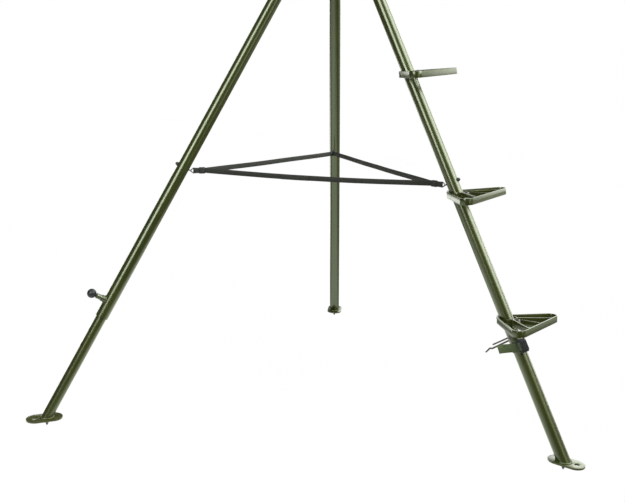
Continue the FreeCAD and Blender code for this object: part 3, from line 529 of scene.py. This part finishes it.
class Shell:
    """Vertices and faces gathered from several parts of one piece."""

    def __init__(self):
        self.vertices, self.faces, self.strap = [], [], []

    def loft(self, sections, closed=False, strap=None):
        """Join sections, each a list of as many points, into one skin."""
        base = len(self.vertices)
        for section in sections:
            self.vertices += section
        faces = bridge(len(sections), len(sections[0]), closed)
        self.faces += [tuple(corner + base for corner in face) for face in faces]
        self.strap += strap or [(0.0, 0.0, 0.0)] * (len(self.vertices) - base)

    def tube(self, points, radii, sides=10, closed=False):
        """A round tube along points; radii has one value a point."""
        tangents = directions(points, closed)
        side = tangents[0].orthogonal().normalized()
        sections = []
        for point, tangent, radius in zip(points, tangents, radii):
            side = (side - tangent * side.dot(tangent)).normalized()
            other = tangent.cross(side)
            sections.append([on_circle(point, side, other, radius, angle) for angle in turns(sides)])
        self.loft(sections, closed)

    def bead(self, points, radius, seed, closed=False):
        """A weld bead: overlapping ripples of uneven size along a line."""
        chance = random.Random(seed)
        path = resampled(points, radius * 0.42, closed)
        ripple = [0.80 + 0.22 * abs(math.sin(step * 1.05)) + chance.uniform(-0.05, 0.05)
                  for step in range(len(path))]
        if not closed:
            ripple[0] = ripple[-1] = 0.35
        self.tube(path, [radius * size for size in ripple], closed=closed)

    def ribbon(self, points, across, width, thick, closed=False):
        """Flat tape with soft edges along points; across is the direction of its width."""
        edge, face, roll = width / 2, thick / 2, thick * 0.38
        half = [(edge - roll, -face), (edge - roll * 0.25, -face + roll * 0.4), (edge, 0),
                (edge - roll * 0.25, face - roll * 0.4), (edge - roll, face)]
        mirrored = [(-wide, -thin) for wide, thin in half]
        outline = mirrored[-1:] + half + mirrored[:-1]
        sections, strap = [], []
        length = 0.0
        for here, (point, tangent) in enumerate(zip(points, directions(points, closed))):
            side = (across - tangent * across.dot(tangent)).normalized()
            normal = tangent.cross(side)
            if here:
                length += (point - points[here - 1]).length
            sections.append([point + side * wide + normal * thin for wide, thin in outline])
            strap += [(length, wide, thin) for wide, thin in outline]
        self.loft(sections, closed, strap)

    def stitches(self, start, end, normal, length=0.0028, gap=0.0014, radius=0.00035):
        """A row of thread stitches lying on a face."""
        run = end - start
        along = run.normalized()
        count = max(1, int(run.length / (length + gap)))
        pitch = run.length / count
        for number in range(count):
            middle = start + along * (pitch * (number + 0.5))
            points = [middle + along * (share * length / 2) + normal * (radius * lift)
                      for share, lift in ((-1, -0.7), (-0.7, 0.5), (0, 0.9), (0.7, 0.5), (1, -0.7))]
            self.tube(points, [radius * 0.7, radius, radius, radius, radius * 0.7], 6)

    def piece(self, name, body, slot, finish=None, smooth=32):
        mesh = mesh_of(name, self.vertices, self.faces)
        made = add_piece(name, mesh, body, slot, finish, smooth)
        attribute = mesh.attributes.new("strap", "FLOAT_VECTOR", "POINT")
        attribute.data.foreach_set("vector", [part for row in self.strap for part in row])
        return made


# ---------------------------------------------------------------- spreader webbing
def corner_of(leg):
    """The point where a leg's two webbing spans meet."""
    other = "rear" if leg != "rear" else "step"
    return Vector(JOINTS[f"web_{leg}_to_{other}_hang"]["pos_m"])


def web_half(leg, toward, inside=0.004, sway=0.0015, steps=44):
    """Half of a span: a sagging tape from inside the sewn corner to the span's middle."""
    start, end = corner_of(leg), (corner_of(leg) + corner_of(toward)) / 2
    run = end - start
    along = run.normalized()
    side = along.cross(UP)
    sag = BACK_SAG if "rear" in (leg, toward) else FRONT_SAG
    way = sway if leg == "step" else -sway
    points = []
    for step in range(steps + 1):
        share = step / steps
        drop = sag * (1 - (1 - share) ** 2)
        aside = way * math.sin(math.pi * share * 2)
        points.append(start + along * (inside + (run.length - inside) * share) - UP * drop + side * aside)
    tape = Shell()
    tape.ribbon(points, UP, WEB_WIDTH, WEB_THICK)
    body = f"web_{leg}_to_{toward}"
    piece = tape.piece(body + "_tape", body, "black_webbing")
    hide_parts(body)
    if (leg, toward) == ("adjuster", "step"):
        sewn_splice(points[-15:-3], side, body)


def sewn_splice(lap, side, body):
    """The lapped, box-stitched join near the middle of the front span."""
    cover = Shell()
    cover.ribbon([point + side * (WEB_THICK * 0.95) for point in lap], UP, WEB_WIDTH * 1.02, WEB_THICK)
    cover.piece(body + "_splice", body, "black_webbing")
    seams = Shell()
    face = side * (WEB_THICK * 1.46)
    first, last = lap[1] + face, lap[-2] + face
    row = UP * (WEB_WIDTH * 0.3)
    for near, far in ((-row, -row), (row, row), (-row, row), (row, -row)):
        seams.stitches(first + near, last + far, side)
    seams.piece(body + "_splice_stitches", body, "black_webbing", BLACK_THREAD)


def corner_loop(leg):
    """Webbing folded round the ring's straight side and sewn through, where two spans meet."""
    level = level_matrix(leg, corner_of(leg).z)
    outward, side, _ = axes(level)
    low, high = local_box(leg + "_corner_tab", level)
    middle = level.translation
    wire_x = high.x + RING_WIRE_R + 0.0002
    turn_r = RING_WIRE_R + WEB_THICK / 2 + 0.0003
    hug = WEB_THICK * 0.62

    def at(x, y):
        return middle + outward * x + side * y

    near = [(low.x - 0.003, hug), (low.x + 0.010, hug), (high.x - 0.011, hug), (high.x - 0.005, turn_r * 0.9)]
    back = [at(x, -y) for x, y in reversed(near)]
    turn = arc(at(wire_x, 0), outward, side, math.radians(100), math.radians(-100), turn_r, 14)
    loop = Shell()
    path = [at(x, y) for x, y in near] + turn + back
    loop.ribbon(resampled(path, 0.0012), UP, WEB_WIDTH * 1.03, WEB_THICK)
    for sign in (-1, 1):
        lining = [at(low.x - 0.001, sign * hug * 2.6), at(high.x - 0.014, sign * hug * 2.6)]
        loop.ribbon(resampled(lining, 0.002), UP, WEB_WIDTH * 1.22, WEB_THICK)
    body = leg + "_leg"
    piece = loop.piece(leg + "_corner_loop", body, "black_webbing")
    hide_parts(leg + "_corner_tab")
    seams = Shell()
    end_row, side_row = UP * 0.0062, UP * 0.0055
    for sign in (-1, 1):
        normal = side * sign
        lift = sign * (hug * 2.6 + WEB_THICK / 2)
        inner, outer = at(low.x + 0.002, lift), at(low.x + 0.015, lift)
        for place in (inner, outer):
            seams.stitches(place - end_row, place + end_row, normal)
        for near_row, far_row in ((-side_row, -side_row), (side_row, side_row), (-side_row, side_row)):
            seams.stitches(inner + near_row, outer + far_row, normal)
    seams.piece(leg + "_corner_stitches", body, "black_webbing", BLACK_THREAD)


# ---------------------------------------------------------------- tie strap
def tie_matrix():
    """Leg frame moved down the step leg to the middle of the tie strap."""
    low, high = local_box("tie_strap", LEGS["step"])
    return LEGS["step"] @ Matrix.Translation((0, 0, (low.z + high.z) / 2))


def tie_strap():
    """Olive webbing round the leg, through the buckle, with its free end curling away."""
    place = tie_matrix()
    centre = place.translation
    first, second, up_leg = axes(place)
    band_r = LEG_R + TIE_THICK / 2 + 0.0002
    band = Shell()
    points = []
    for angle in turns(72):
        bulge = 0.0012 * max(0.0, math.cos(angle - BUCKLE_TURN)) ** 4
        ripple = 0.0002 * math.sin(3 * angle)
        points.append(on_circle(centre, first, second, band_r + bulge + ripple, angle))
    band.ribbon(points, up_leg, TIE_WIDTH, TIE_THICK, closed=True)
    outward = first * math.cos(TAIL_TURN) + second * math.sin(TAIL_TURN)
    along = first * math.sin(TAIL_TURN) - second * math.cos(TAIL_TURN)
    root = centre + outward * (band_r + TIE_THICK * 1.1)
    tail = [root - along * 0.014 - outward * 0.0035, root]
    for far, off in ((0.016, 0.0006), (0.032, 0.0002), (0.043, 0.0012), (0.049, 0.0045), (0.0515, 0.0100)):
        tail.append(root + along * far + outward * off + up_leg * (far * TAIL_RISE))
    band.ribbon(resampled(smooth_line(tail), 0.0014), up_leg, TIE_WIDTH, TIE_THICK)
    piece = band.piece("tie_strap_webbing", "step_leg", "olive_webbing")
    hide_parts("tie_strap")


def smooth_line(points, rounds=3):
    """Cut a polyline's corners until it runs smoothly between its ends."""
    for _ in range(rounds):
        cut = [points[0]]
        for before, after in zip(points, points[1:]):
            cut += [before.lerp(after, 0.25), before.lerp(after, 0.75)]
        points = cut + [points[-1]]
    return points


def rounded_bar(shell, start, end, wide, deep, normal):
    """A moulded bar of rounded-rectangle section between two points."""
    along = (end - start).normalized()
    across = along.cross(normal).normalized()
    outline = rounded_rectangle(wide / 2, deep / 2, min(wide, deep) * 0.32, 3)
    length = (end - start).length
    sections = []
    for share, scale in ((0.0, 0.78), (0.02, 0.92), (0.06, 1.0), (0.94, 1.0), (0.98, 0.92), (1.0, 0.78)):
        centre = start + along * (length * share)
        sections.append([centre + across * (x * scale) + normal * (y * scale) for x, y in outline])
    shell.loft(sections)


def tie_buckle():
    """Ladder buckle: two side rails, three bars and the thumb tab that tips it."""
    place = tie_matrix()
    out, side, up_leg = axes(place @ Matrix.Rotation(BUCKLE_TURN, 4, "Z"))
    middle = place.translation + out * (LEG_R + TIE_THICK * 2 + 0.0045)
    half_wide, half_tall, left = 0.0165, 0.0170, -0.0105
    shell = Shell()

    def at(y, z, lift):
        return middle + side * y + up_leg * z + out * lift

    def bar(start, end, wide, deep):
        rounded_bar(shell, at(*start), at(*end), wide, deep, out)

    for z in (-half_tall, half_tall):
        bar((left - 0.002, z, -0.0012), (half_wide, z, 0.0012), 0.0052, 0.0060)
    for y, lift in ((left, -0.0012), (-0.0030, 0.0002)):
        bar((y, -half_tall, lift), (y, half_tall, lift), 0.0040, 0.0046)
    tab_y, tab_tall = 0.0078, half_tall - 0.0012
    bar((tab_y, -tab_tall, 0.0022), (tab_y, tab_tall, 0.0022), 0.0215, 0.0052)
    for ridge in range(5):
        y = 0.0045 + ridge * 0.0030
        bar((y, -0.0125, 0.0050), (y, 0.0125, 0.0050), 0.0013, 0.0014)
    piece = shell.piece("tie_buckle_frame", "step_leg", "black_plastic")
    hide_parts("tie_buckle")
    wrap = Shell()
    over = [at(y, 0, lift) for y, lift in ((-0.0100, -0.0042), (-0.0080, -0.0010), (-0.0040, 0.0024),
                                           (0.0020, 0.0020), (0.0052, -0.0030))]
    wrap.ribbon(resampled(smooth_line(over), 0.001), up_leg, TIE_WIDTH, TIE_THICK)
    wrap.piece("tie_strap_through_buckle", "step_leg", "olive_webbing")


# ---------------------------------------------------------------- welds
def foot_weld(shell, leg, radius, seed):
    """Bead where a leg tube lands on its foot plate: an ellipse round the slanted tube."""
    level = level_matrix(leg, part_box(leg + "_foot_plate")[1].z)
    outward, side, _ = axes(level)
    round_tube = radius + 0.0008
    points = []
    for angle in turns(60):
        reach = outward * (round_tube / math.cos(SPLAY) * math.cos(angle))
        points.append(level.translation + reach + side * (round_tube * math.sin(angle)) + UP * 0.0006)
    shell.bead(points, 0.0026, seed, closed=True)


def step_place(index):
    """Frame of one step as it sits on its bolt: outer edge up, far end up and turned outward a little."""
    apex, up_leg = LEGS["step"].translation, LEGS["step"].col[2].to_3d()
    origin = apex - up_leg * (LOWEST_STEP - STEP_SPACING * index)
    edge_up, end_up, turned = (math.radians(angle) for angle in STEP_SEATING[index])
    tipped = Matrix.Rotation(end_up, 4, "X") @ Matrix.Rotation(-edge_up, 4, "Y")
    return level_matrix("step", origin.z) @ Matrix.Rotation(turned, 4, "Z") @ tipped


def step_welds(shell, index, seed):
    """Beads where the spokes meet the outer bar, and where the saddle meets the spokes."""
    level = step_place(index)
    half = STEP_BAR_H / 2
    inner = STEP_REACH - STEP_BAR_T

    def bead(places, radius, number):
        shell.bead([level @ Vector(place) for place in places], radius, seed + number)

    for number, y in enumerate((-SPOKE_SPREAD, 0.0, SPOKE_SPREAD)):
        slant = math.copysign(0.00066, y) if y else 0.0
        for sign in (-1, 1):
            aside = SPOKE_T * 0.8 + (0.0008 if y * sign < 0 else 0.0)
            x, beside = inner - 0.0006, y + sign * aside - slant
            bead([(x, beside, 0.001 - half), (x, beside, half - 0.0012)], BEAD_R, number * 2 + sign)
        bead([(inner - 0.0030, y - 0.0022, half - 0.0008), (inner + 0.0006, y, half - 0.0002),
              (inner - 0.0030, y + 0.0022, half - 0.0008)], 0.0018, 31 + number)
    for sign in (-1, 1):
        turn = math.radians(35 * sign)
        x = SADDLE_X + (SADDLE_R + 0.0005) * math.cos(turn)
        y = (SADDLE_R + 0.0005) * math.sin(turn) + sign * 0.0022
        bead([(x, y, 0.004 - half), (x, y, half - 0.001)], THIN_BEAD_R, 50 + sign)


def lock_weld(shell, seed):
    """Bead round the pull pin's boss, following the tube's curve."""
    leg = LEGS["adjuster"]
    low, high = local_box("lock_barrel", leg)
    height = (low.z + high.z) / 2
    boss = (high.z - low.z) / 2
    points = []
    for angle in turns(48):
        y, z = boss * math.cos(angle), boss * math.sin(angle)
        x = math.sqrt(max(LEG_R ** 2 - y ** 2, 0)) + 0.0004
        points.append(leg @ Vector((x, y * 1.04, height + z * 1.04)))
    shell.bead(points, BEAD_R, seed, closed=True)


def hub_welds(shell):
    """Upright beads between the hub tube and each pair of ears, and one under the top plate."""
    tube_low, tube_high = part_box("hub_tube")
    hub_r = (tube_high.x - tube_low.x) / 2
    axis = Vector((HUB.x, HUB.y, 0))
    half = UP * 0.020
    for number, leg in enumerate(LEG_NAMES):
        joint = JOINTS[leg + "_leg_fold"]
        side = Vector(joint["axis"])
        height = UP * joint["pos_m"][2]
        for sign in (-1, 1):
            for across in (LEG_R - 0.0004, LEG_R + EAR_THICK + 0.0012):
                reach = math.sqrt(max(hub_r ** 2 - across ** 2, 1e-6)) + 0.0006
                base = axis + side * (sign * across) + side.cross(UP) * reach + height
                shell.bead([base - half, base + half], BEAD_R, 70 + number * 4 + sign)
    centre = axis + UP * (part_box("hub_top_plate")[0].z - 0.0006)
    first = UP.orthogonal().normalized()
    second = UP.cross(first).normalized()
    ring = arc(centre, first, second, 0, 2 * math.pi * 59 / 60, hub_r + 0.0008, 59)
    shell.bead(ring, 0.0022, 95, closed=True)


def seat_welds(shell):
    """Beads from the rail bridges to the rails, and round the brackets on the rear bar."""
    low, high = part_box("rail_bridges")
    rail_low, rail_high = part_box("seat_rails")
    bar_low, bar_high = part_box("rear_bar")
    top = high.z + 0.0006
    for number, x in enumerate((low.x, high.x)):
        inward = x - math.copysign(0.004, x)
        for y in (low.y, low.y + BRIDGE_WIDTH, high.y - BRIDGE_WIDTH, high.y):
            shell.bead([Vector((inward, y, high.z)), Vector((x, y, top))], 0.0018, 110 + number)
        for y in (low.y, high.y - BRIDGE_WIDTH):
            shell.bead([Vector((x, y, top)), Vector((x, y + BRIDGE_WIDTH, top))], BEAD_R, 120 + number)
    for number, x in enumerate((bar_low.x, bar_high.x)):
        inward = x - math.copysign(0.0008, x)
        corners = ((bar_low.y, bar_low.z), (bar_high.y, bar_low.z),
                   (bar_high.y, bar_high.z), (bar_low.y, bar_high.z))
        shell.bead([Vector((inward, y, z)) for y, z in corners], BEAD_R, 130 + number, closed=True)
    y = rail_high.y - 0.0006
    for number, sign in enumerate((-1, 1)):
        for edge in (-BOX_TUBE_HALF, BOX_TUBE_HALF):
            x = (rail_high.x - BOX_TUBE_HALF) * sign + edge
            line = [Vector((x, y, rail_low.z + 0.002)), Vector((x, y, rail_high.z - 0.002))]
            shell.bead(line, THIN_BEAD_R, 140 + number)


def backrest_matrix():
    """The backrest's frame: origin on its pivots, Z up its uprights."""
    pivot = Vector(JOINTS["backrest_fold"]["pos_m"])
    return Matrix.Translation(pivot) @ Matrix.Rotation(-BACK_LEAN, 4, "X")


def back_welds(shell):
    """Beads where the slats cross the backrest's uprights."""
    low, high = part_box("back_frame")
    upright = (high.x - low.x) / 2 - BACK_TUBE_R
    turn = backrest_matrix()
    y = BACK_TUBE_R + 0.0006
    for number, height in enumerate(SLAT_HEIGHTS):
        for sign in (-1, 1):
            for z in (height - SLAT_HALF, height + SLAT_HALF):
                line = [turn @ Vector((sign * (upright - 0.006), y, z)),
                        turn @ Vector((sign * (upright + 0.004), y - 0.0012, z))]
                shell.bead(line, THIN_BEAD_R, 150 + number)


WELD_PIECES = {"step_leg": "step_leg_welds", "rear_leg": "rear_leg_welds",
               "adjuster_foot": "adjuster_foot_welds", "adjuster_leg": "pull_pin_boss_weld",
               "hub": "hub_welds", "seat": "seat_frame_welds", "backrest": "backrest_welds"}


def welds():
    """All weld beads, one piece for each body that carries them."""
    shells = {body: Shell() for body in WELD_PIECES}
    for index in range(len(STEP_NAMES)):
        step_welds(shells["step_leg"], index, 200 + 20 * index)
    foot_weld(shells["step_leg"], "step", LEG_R, 11)
    foot_weld(shells["rear_leg"], "rear", LEG_R, 12)
    foot_weld(shells["adjuster_foot"], "adjuster", SLIDE_R, 13)
    lock_weld(shells["adjuster_leg"], 14)
    hub_welds(shells["hub"])
    seat_welds(shells["seat"])
    back_welds(shells["backrest"])
    for body, name in WELD_PIECES.items():
        shells[body].piece(name, body, "olive_powder", smooth=60)


# ---------------------------------------------------------------- caps and pads
def tube_caps():
    """Moulded plugs in the front ends of the seat's square rails."""
    shell = Shell()
    low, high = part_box("seat_rails")
    for x in (low.x + BOX_TUBE_HALF, high.x - BOX_TUBE_HALF):
        square_plug(shell, Vector((x, low.y, (low.z + high.z) / 2)), Vector((0, -1, 0)))
    shell.piece("rail_end_caps", "seat", "black_plastic")


def square_plug(shell, centre, out):
    """A domed square plug: ribbed body inside the tube and a thin lip over its end."""
    side = UP.cross(out).normalized()
    outline = rounded_rectangle(BOX_TUBE_HALF, BOX_TUBE_HALF, 0.002, 3)
    levels = ((-0.014, 0.82), (-0.001, 0.84), (-0.0003, 0.84), (0.0, 0.97),
              (0.0012, 1.0), (0.0022, 0.96), (0.0030, 0.80), (0.0034, 0.4))
    shell.loft([[centre + side * (x * scale) + UP * (z * scale) + out * depth for x, z in outline]
                for depth, scale in levels])


def pad_block(name, place, size, corner, shrink):
    """The closed starting shape of a pad: a rounded block, a little smaller than its space."""
    half = size / 2
    outline = rounded_rectangle(half.x - shrink, half.y - shrink, corner, 10)
    levels = ((-1, 0.006), (-0.86, 0.0), (-0.3, 0.0), (0.3, 0.0), (0.86, 0.0), (1, 0.006))
    vertices = []
    for share, inset in levels:
        scale_x, scale_y = 1 - inset / half.x, 1 - inset / half.y
        for x, y in outline:
            vertices.append(place @ Vector((x * scale_x, y * scale_y, share * (half.z - shrink))))
    return put_in_scene(name, mesh_of(name, vertices, bridge(len(levels), len(outline))))


def applied(piece):
    """Replace a piece's mesh by what its modifiers make of it."""
    graph = bpy.context.evaluated_depsgraph_get()
    mesh = bpy.data.meshes.new_from_object(piece.evaluated_get(graph))
    piece.modifiers.clear()
    piece.data = mesh


COVER = {"quality": 5, "mass": 0.35, "tension_stiffness": 22, "compression_stiffness": 22,
         "bending_stiffness": 0.8, "use_pressure": True, "uniform_pressure_force": 4.0,
         "vertex_group_mass": "held"}
SWELLING_FRAMES = 20


def inflated(piece, place, cap, held_below):
    """Let the cover swell under the filling's pressure; points on the board side stay where they are."""
    remesh = piece.modifiers.new("even", "REMESH")
    remesh.mode = "VOXEL"
    remesh.voxel_size = 0.0058
    applied(piece)
    start = [vertex.co.copy() for vertex in piece.data.vertices]
    inverse = place.inverted()
    held = piece.vertex_groups.new(name="held")
    held.add([index for index, point in enumerate(start) if (inverse @ point).z < held_below], 1.0, "ADD")
    cloth = piece.modifiers.new("cover", "CLOTH")
    for key, value in COVER.items():
        setattr(cloth.settings, key, value)
    cloth.settings.effector_weights.gravity = 0.0
    cloth.point_cache.frame_end = SWELLING_FRAMES
    scene = bpy.context.scene
    for frame_number in range(1, SWELLING_FRAMES + 1):
        scene.frame_set(frame_number)
    applied(piece)
    scene.frame_set(1)
    for vertex, home in zip(piece.data.vertices, start):
        moved = vertex.co - home
        if moved.length > cap:
            vertex.co = home + moved * (cap / moved.length)


def pad_finish(piece, body, cad_node):
    """Channels are in; add the last subdivision and hand the pad to the frame."""
    piece.modifiers.new("relax", "SMOOTH").iterations = 3
    finer = piece.modifiers.new("finer", "SUBSURF")
    finer.levels = finer.render_levels = 1
    applied(piece)
    piece.data.shade_smooth()
    piece.data.materials.clear()
    piece.data.materials.append(FINISHES["seat_fabric"])
    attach(piece, body)
    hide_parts(cad_node)


def sewn_groove(piece, place, reach, rows, depth, width):
    """Press sewn channels into a pad's face: one along local X, to each side's reach, for each row's Y."""
    inverse = place.inverted()
    run = Vector((2 * reach, 0))
    for vertex in piece.data.vertices:
        local = inverse @ vertex.co
        if local.z <= 0:
            continue
        press = 0.0
        for row in rows:
            offset = local.xy - Vector((-reach, row))
            share = max(0.0, min(1.0, offset.dot(run) / run.length_squared))
            press = max(press, math.exp(-((offset - run * share).length / width) ** 2))
        local.z -= depth * press
        vertex.co = place @ local


def piping(piece, place, half, corner, height, radius, name, body):
    """A corded seam round the pad, laid on its swollen surface at one height."""
    graph = bpy.context.evaluated_depsgraph_get()
    tree = BVHTree.FromObject(piece, graph)
    ring = []
    for x, y in rounded_rectangle(half.x, half.y, corner, 16):
        out = Vector((x, y, 0)).normalized()
        start = place @ (Vector((x, y, height)) + out * 0.05)
        direction = (place.to_3x3() @ -out).normalized()
        hit, _, _, _ = tree.ray_cast(start, direction, 0.2)
        if hit is not None:
            ring.append(hit - direction * radius * 0.35)
    cord = Shell()
    path = resampled(ring, 0.004, closed=True)
    cord.tube(path, [radius] * len(path), closed=True)
    cord.piece(name, body, "seat_fabric", smooth=60)


def seat_pad():
    """The seat's pad, with two channels across its top and a cord round either edge."""
    low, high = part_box("seat_cushion")
    size = high - low
    place = Matrix.Translation((low + high) / 2)
    corner = 0.050
    piece = pad_block("seat_pad", place, size, corner, 0.007)
    half = size / 2
    inflated(piece, place, 0.022, 0.012 - half.z)
    keep_inside(piece, place, half, 0.008)
    sewn_groove(piece, place, half.x - 0.055, (-0.062, 0.062), 0.006, 0.006)
    pad_finish(piece, "seat", "seat_cushion")
    for height, label in ((half.z * 0.52, "upper"), (-half.z * 0.62, "lower")):
        piping(piece, place, half, corner, height, 0.0028, f"seat_pad_{label}_piping", "seat")


def keep_inside(piece, place, half, slack):
    """Keep the pad's underside on its board and its sides near its own space."""
    inverse = place.inverted()
    for vertex in piece.data.vertices:
        local = inverse @ vertex.co
        local.z = max(local.z, -half.z + 0.0004)
        local.x = max(-half.x - slack, min(half.x + slack, local.x))
        local.y = max(-half.y - slack, min(half.y + slack, local.y))
        vertex.co = place @ local


def back_pad():
    """The backrest's pad, on the same lean as its frame."""
    lean = backrest_matrix()
    low, high = local_box("back_cushion", lean)
    middle = (low + high) / 2
    place = lean @ Matrix.Translation(middle) @ Matrix.Rotation(math.radians(90), 4, "X")
    size = Vector((high.x - low.x, high.z - low.z, high.y - low.y))
    corner = 0.040
    piece = pad_block("back_pad", place, size, corner, 0.004)
    half = size / 2
    inflated(piece, place, 0.012, 0.009 - half.z)
    keep_inside(piece, place, half, 0.002)
    sewn_groove(piece, place, half.x - 0.050, (-0.045, 0.045), 0.005, 0.005)
    pad_finish(piece, "backrest", "back_cushion")
    piping(piece, place, half, corner, 0.0, 0.0024, "back_pad_piping", "backrest")


# ---------------------------------------------------------------- stage, light and camera
def area_light(name, where, target, size, radiance, glossy=True, diffuse=True):
    """A soft box of one brightness, never seen by the camera; it may act on gloss or on colour alone."""
    data = bpy.data.lights.new(name, "AREA")
    data.shape = "RECTANGLE"
    data.size, data.size_y = size
    data.energy = radiance * math.pi * size[0] * size[1]
    light = put_in_scene(name, data)
    light.location = where
    light.rotation_euler = (Vector(target) - Vector(where)).to_track_quat("-Z", "Y").to_euler()
    light.visible_camera = False
    light.visible_glossy, light.visible_diffuse = glossy, diffuse


FLOOR_Z = -0.40
FLOOR_REACH = 16.0
# Soft spots of light: a direction or a place on the floor, radius of the full part, whole radius, strength.
WALL_GLOWS = {
    "back_right": ((0.50, 0.80, 0.34), 0.30, 0.62, 3.0),
    "back_left": ((-0.60, 0.79, 0.03), 0.12, 0.30, 4.0),
    "overhead": ((0.25, 0.05, 0.97), 0.5, 1.1, 1.0),
    "far_right": ((0.77, 0.64, 0.02), 0.14, 0.32, 3.0),
    "far_back": ((0.13, 0.92, 0.375), 0.12, 0.30, 1.8),
    "front_left": ((-0.467, -0.878, 0.06), 0.14, 0.30, 1.1),
}
FLOOR_POOLS = {
    "left": ((-2.7, 3.6, FLOOR_Z), 1.1, 2.7, 3.6),
    "right": ((5.9, 2.8, FLOOR_Z), 1.4, 5.0, 0.8),
    "near": ((0.0, -0.15, FLOOR_Z), 0.5, 1.8, 2.1),
    "front": ((-2.7, -1.9, FLOOR_Z), 2.0, 3.0, 1.6),
}


def glows(where, base, spots):
    """An even brightness with soft spots on it, each full inside one radius and gone outside the other."""
    tree = where.id_data
    for centre, inner, outer, strength in spots.values():
        away = node(tree, "VectorMath", {0: where, 1: centre}, operation="DISTANCE").outputs["Value"]
        inputs = {"Value": away, "From Min": outer, "From Max": inner, "To Min": 0.0, "To Max": strength}
        spot = node(tree, "MapRange", inputs, interpolation_type="SMOOTHSTEP")
        base = math_of("ADD", spot.outputs["Result"], base)
    return base


def emptied(block):
    """The node tree of a world or material, without its nodes."""
    block.use_nodes = True
    block.node_tree.nodes.clear()
    return block.node_tree


def chosen(factor, otherwise, when):
    """One shader where the factor is 0, another where it is 1."""
    return node(factor.id_data, "MixShader", {0: factor, 1: otherwise.outputs[0], 2: when.outputs[0]})


def studio():
    """A white sweep to the eye; to the paint, a dim room with bright spots on its walls."""
    world = bpy.data.worlds.new("studio")
    bpy.context.scene.world = world
    tree = emptied(world)
    strength = glows(node(tree, "TexCoord").outputs["Generated"], 0.11, WALL_GLOWS)
    seen = node(tree, "Background", {"Color": (1, 1, 1, 1), "Strength": 1.0})
    felt = node(tree, "Background", {"Color": (0.98, 1.0, 0.96, 1), "Strength": strength})
    mixed = chosen(node(tree, "LightPath").outputs["Is Camera Ray"], felt, seen)
    node(tree, "OutputWorld", {"Surface": mixed.outputs[0]})


def floor():
    """A large white floor, low enough for the folded feet; the paint mirrors four pools of light in it."""
    corners = [(x * FLOOR_REACH, y * FLOOR_REACH, FLOOR_Z) for x, y in ((-1, -1), (1, -1), (1, 1), (-1, 1))]
    mesh = mesh_of("floor", corners, [(0, 1, 2, 3)])
    ground = put_in_scene("floor", mesh)
    material = bpy.data.materials.new("floor")
    tree = emptied(material)
    where = place_of(tree)
    pale = ramp(noise(where, 0.6, 2.0), (0.3, 0.985), (0.7, 1.0))
    pools = glows(where, 0.15, FLOOR_POOLS)
    seen = node(tree, "Emission", {"Color": pale, "Strength": 1.01})
    mirrored = node(tree, "Emission", {"Color": (0.96, 1.0, 0.92, 1), "Strength": pools})
    bounced = node(tree, "Emission", {"Color": (0.9, 0.95, 0.85, 1), "Strength": 0.35})
    path = node(tree, "LightPath")
    felt = chosen(path.outputs["Is Glossy Ray"], bounced, mirrored)
    mixed = chosen(path.outputs["Is Camera Ray"], felt, seen)
    node(tree, "OutputMaterial", {"Surface": mixed.outputs[0]})
    material.cycles.emission_sampling = "NONE"
    mesh.materials.append(material)



def lights():
    area_light("left_box", (-1.55, -3.55, 2.85), (0.2, -0.4, 1.7), (1.9, 3.3), 13.0, diffuse=False)
    area_light("right_box", (3.10, -0.75, 3.15), (0.4, -0.3, 1.3), (3.3, 3.3), 10.5, diffuse=False)
    area_light("front_right_box", (2.5, -2.3, 1.4), (0.4, -0.4, 0.6), (1.2, 2.4), 2.0, diffuse=False)
    area_light("key", (-2.2, -4.0, 3.6), (0.1, -0.3, 0.9), (2.0, 2.0), 7.0, glossy=False)
    area_light("side", (3.6, -1.4, 2.6), (0.1, -0.3, 0.9), (2.0, 2.4), 8.5, glossy=False)
    area_light("top", (0.2, 0.4, 4.8), (0, -0.2, 0.8), (2.4, 2.4), 3.0)


CAMERA_AT = (0.2560, -3.1540, HUB.z - 0.4173)
CAMERA_YAW, CAMERA_PITCH, CAMERA_ROLL = math.radians(5.649), math.radians(-8.422), math.radians(2.4125)


def camera():
    data = bpy.data.cameras.new("camera")
    data.lens = 52.2
    data.sensor_width = 36.0
    data.shift_y = -0.12
    viewer = put_in_scene("camera", data)
    turn = Matrix.Rotation(CAMERA_YAW, 4, "Z") @ Matrix.Rotation(math.pi / 2 + CAMERA_PITCH, 4, "X")
    viewer.matrix_world = Matrix.Translation(CAMERA_AT) @ turn @ Matrix.Rotation(CAMERA_ROLL, 4, "Z")
    bpy.context.scene.camera = viewer


def picture():
    """Plain colours, and thin bright edges cleaned by their own look alone."""
    scene = bpy.context.scene
    scene.view_settings.view_transform = "Standard"
    scene.cycles.denoising_input_passes = "RGB"


# ---------------------------------------------------------------- put together
paint_frame()
foot_plates = [leg + "_foot_plate" for leg in LEG_NAMES]
for part in (*STEP_NAMES, *foot_plates, "hub_top_plate", "back_brackets", "hub_ears"):
    softened(part)
coated("hairpin_clip", 0.0011)
pin_spring()
for here in LEG_NAMES:
    corner_loop(here)
    for there in LEG_NAMES:
        if there != here:
            web_half(here, there)
tie_strap()
tie_buckle()
welds()
tube_caps()
seat_pad()
back_pad()
studio()
floor()
lights()
camera()
picture()
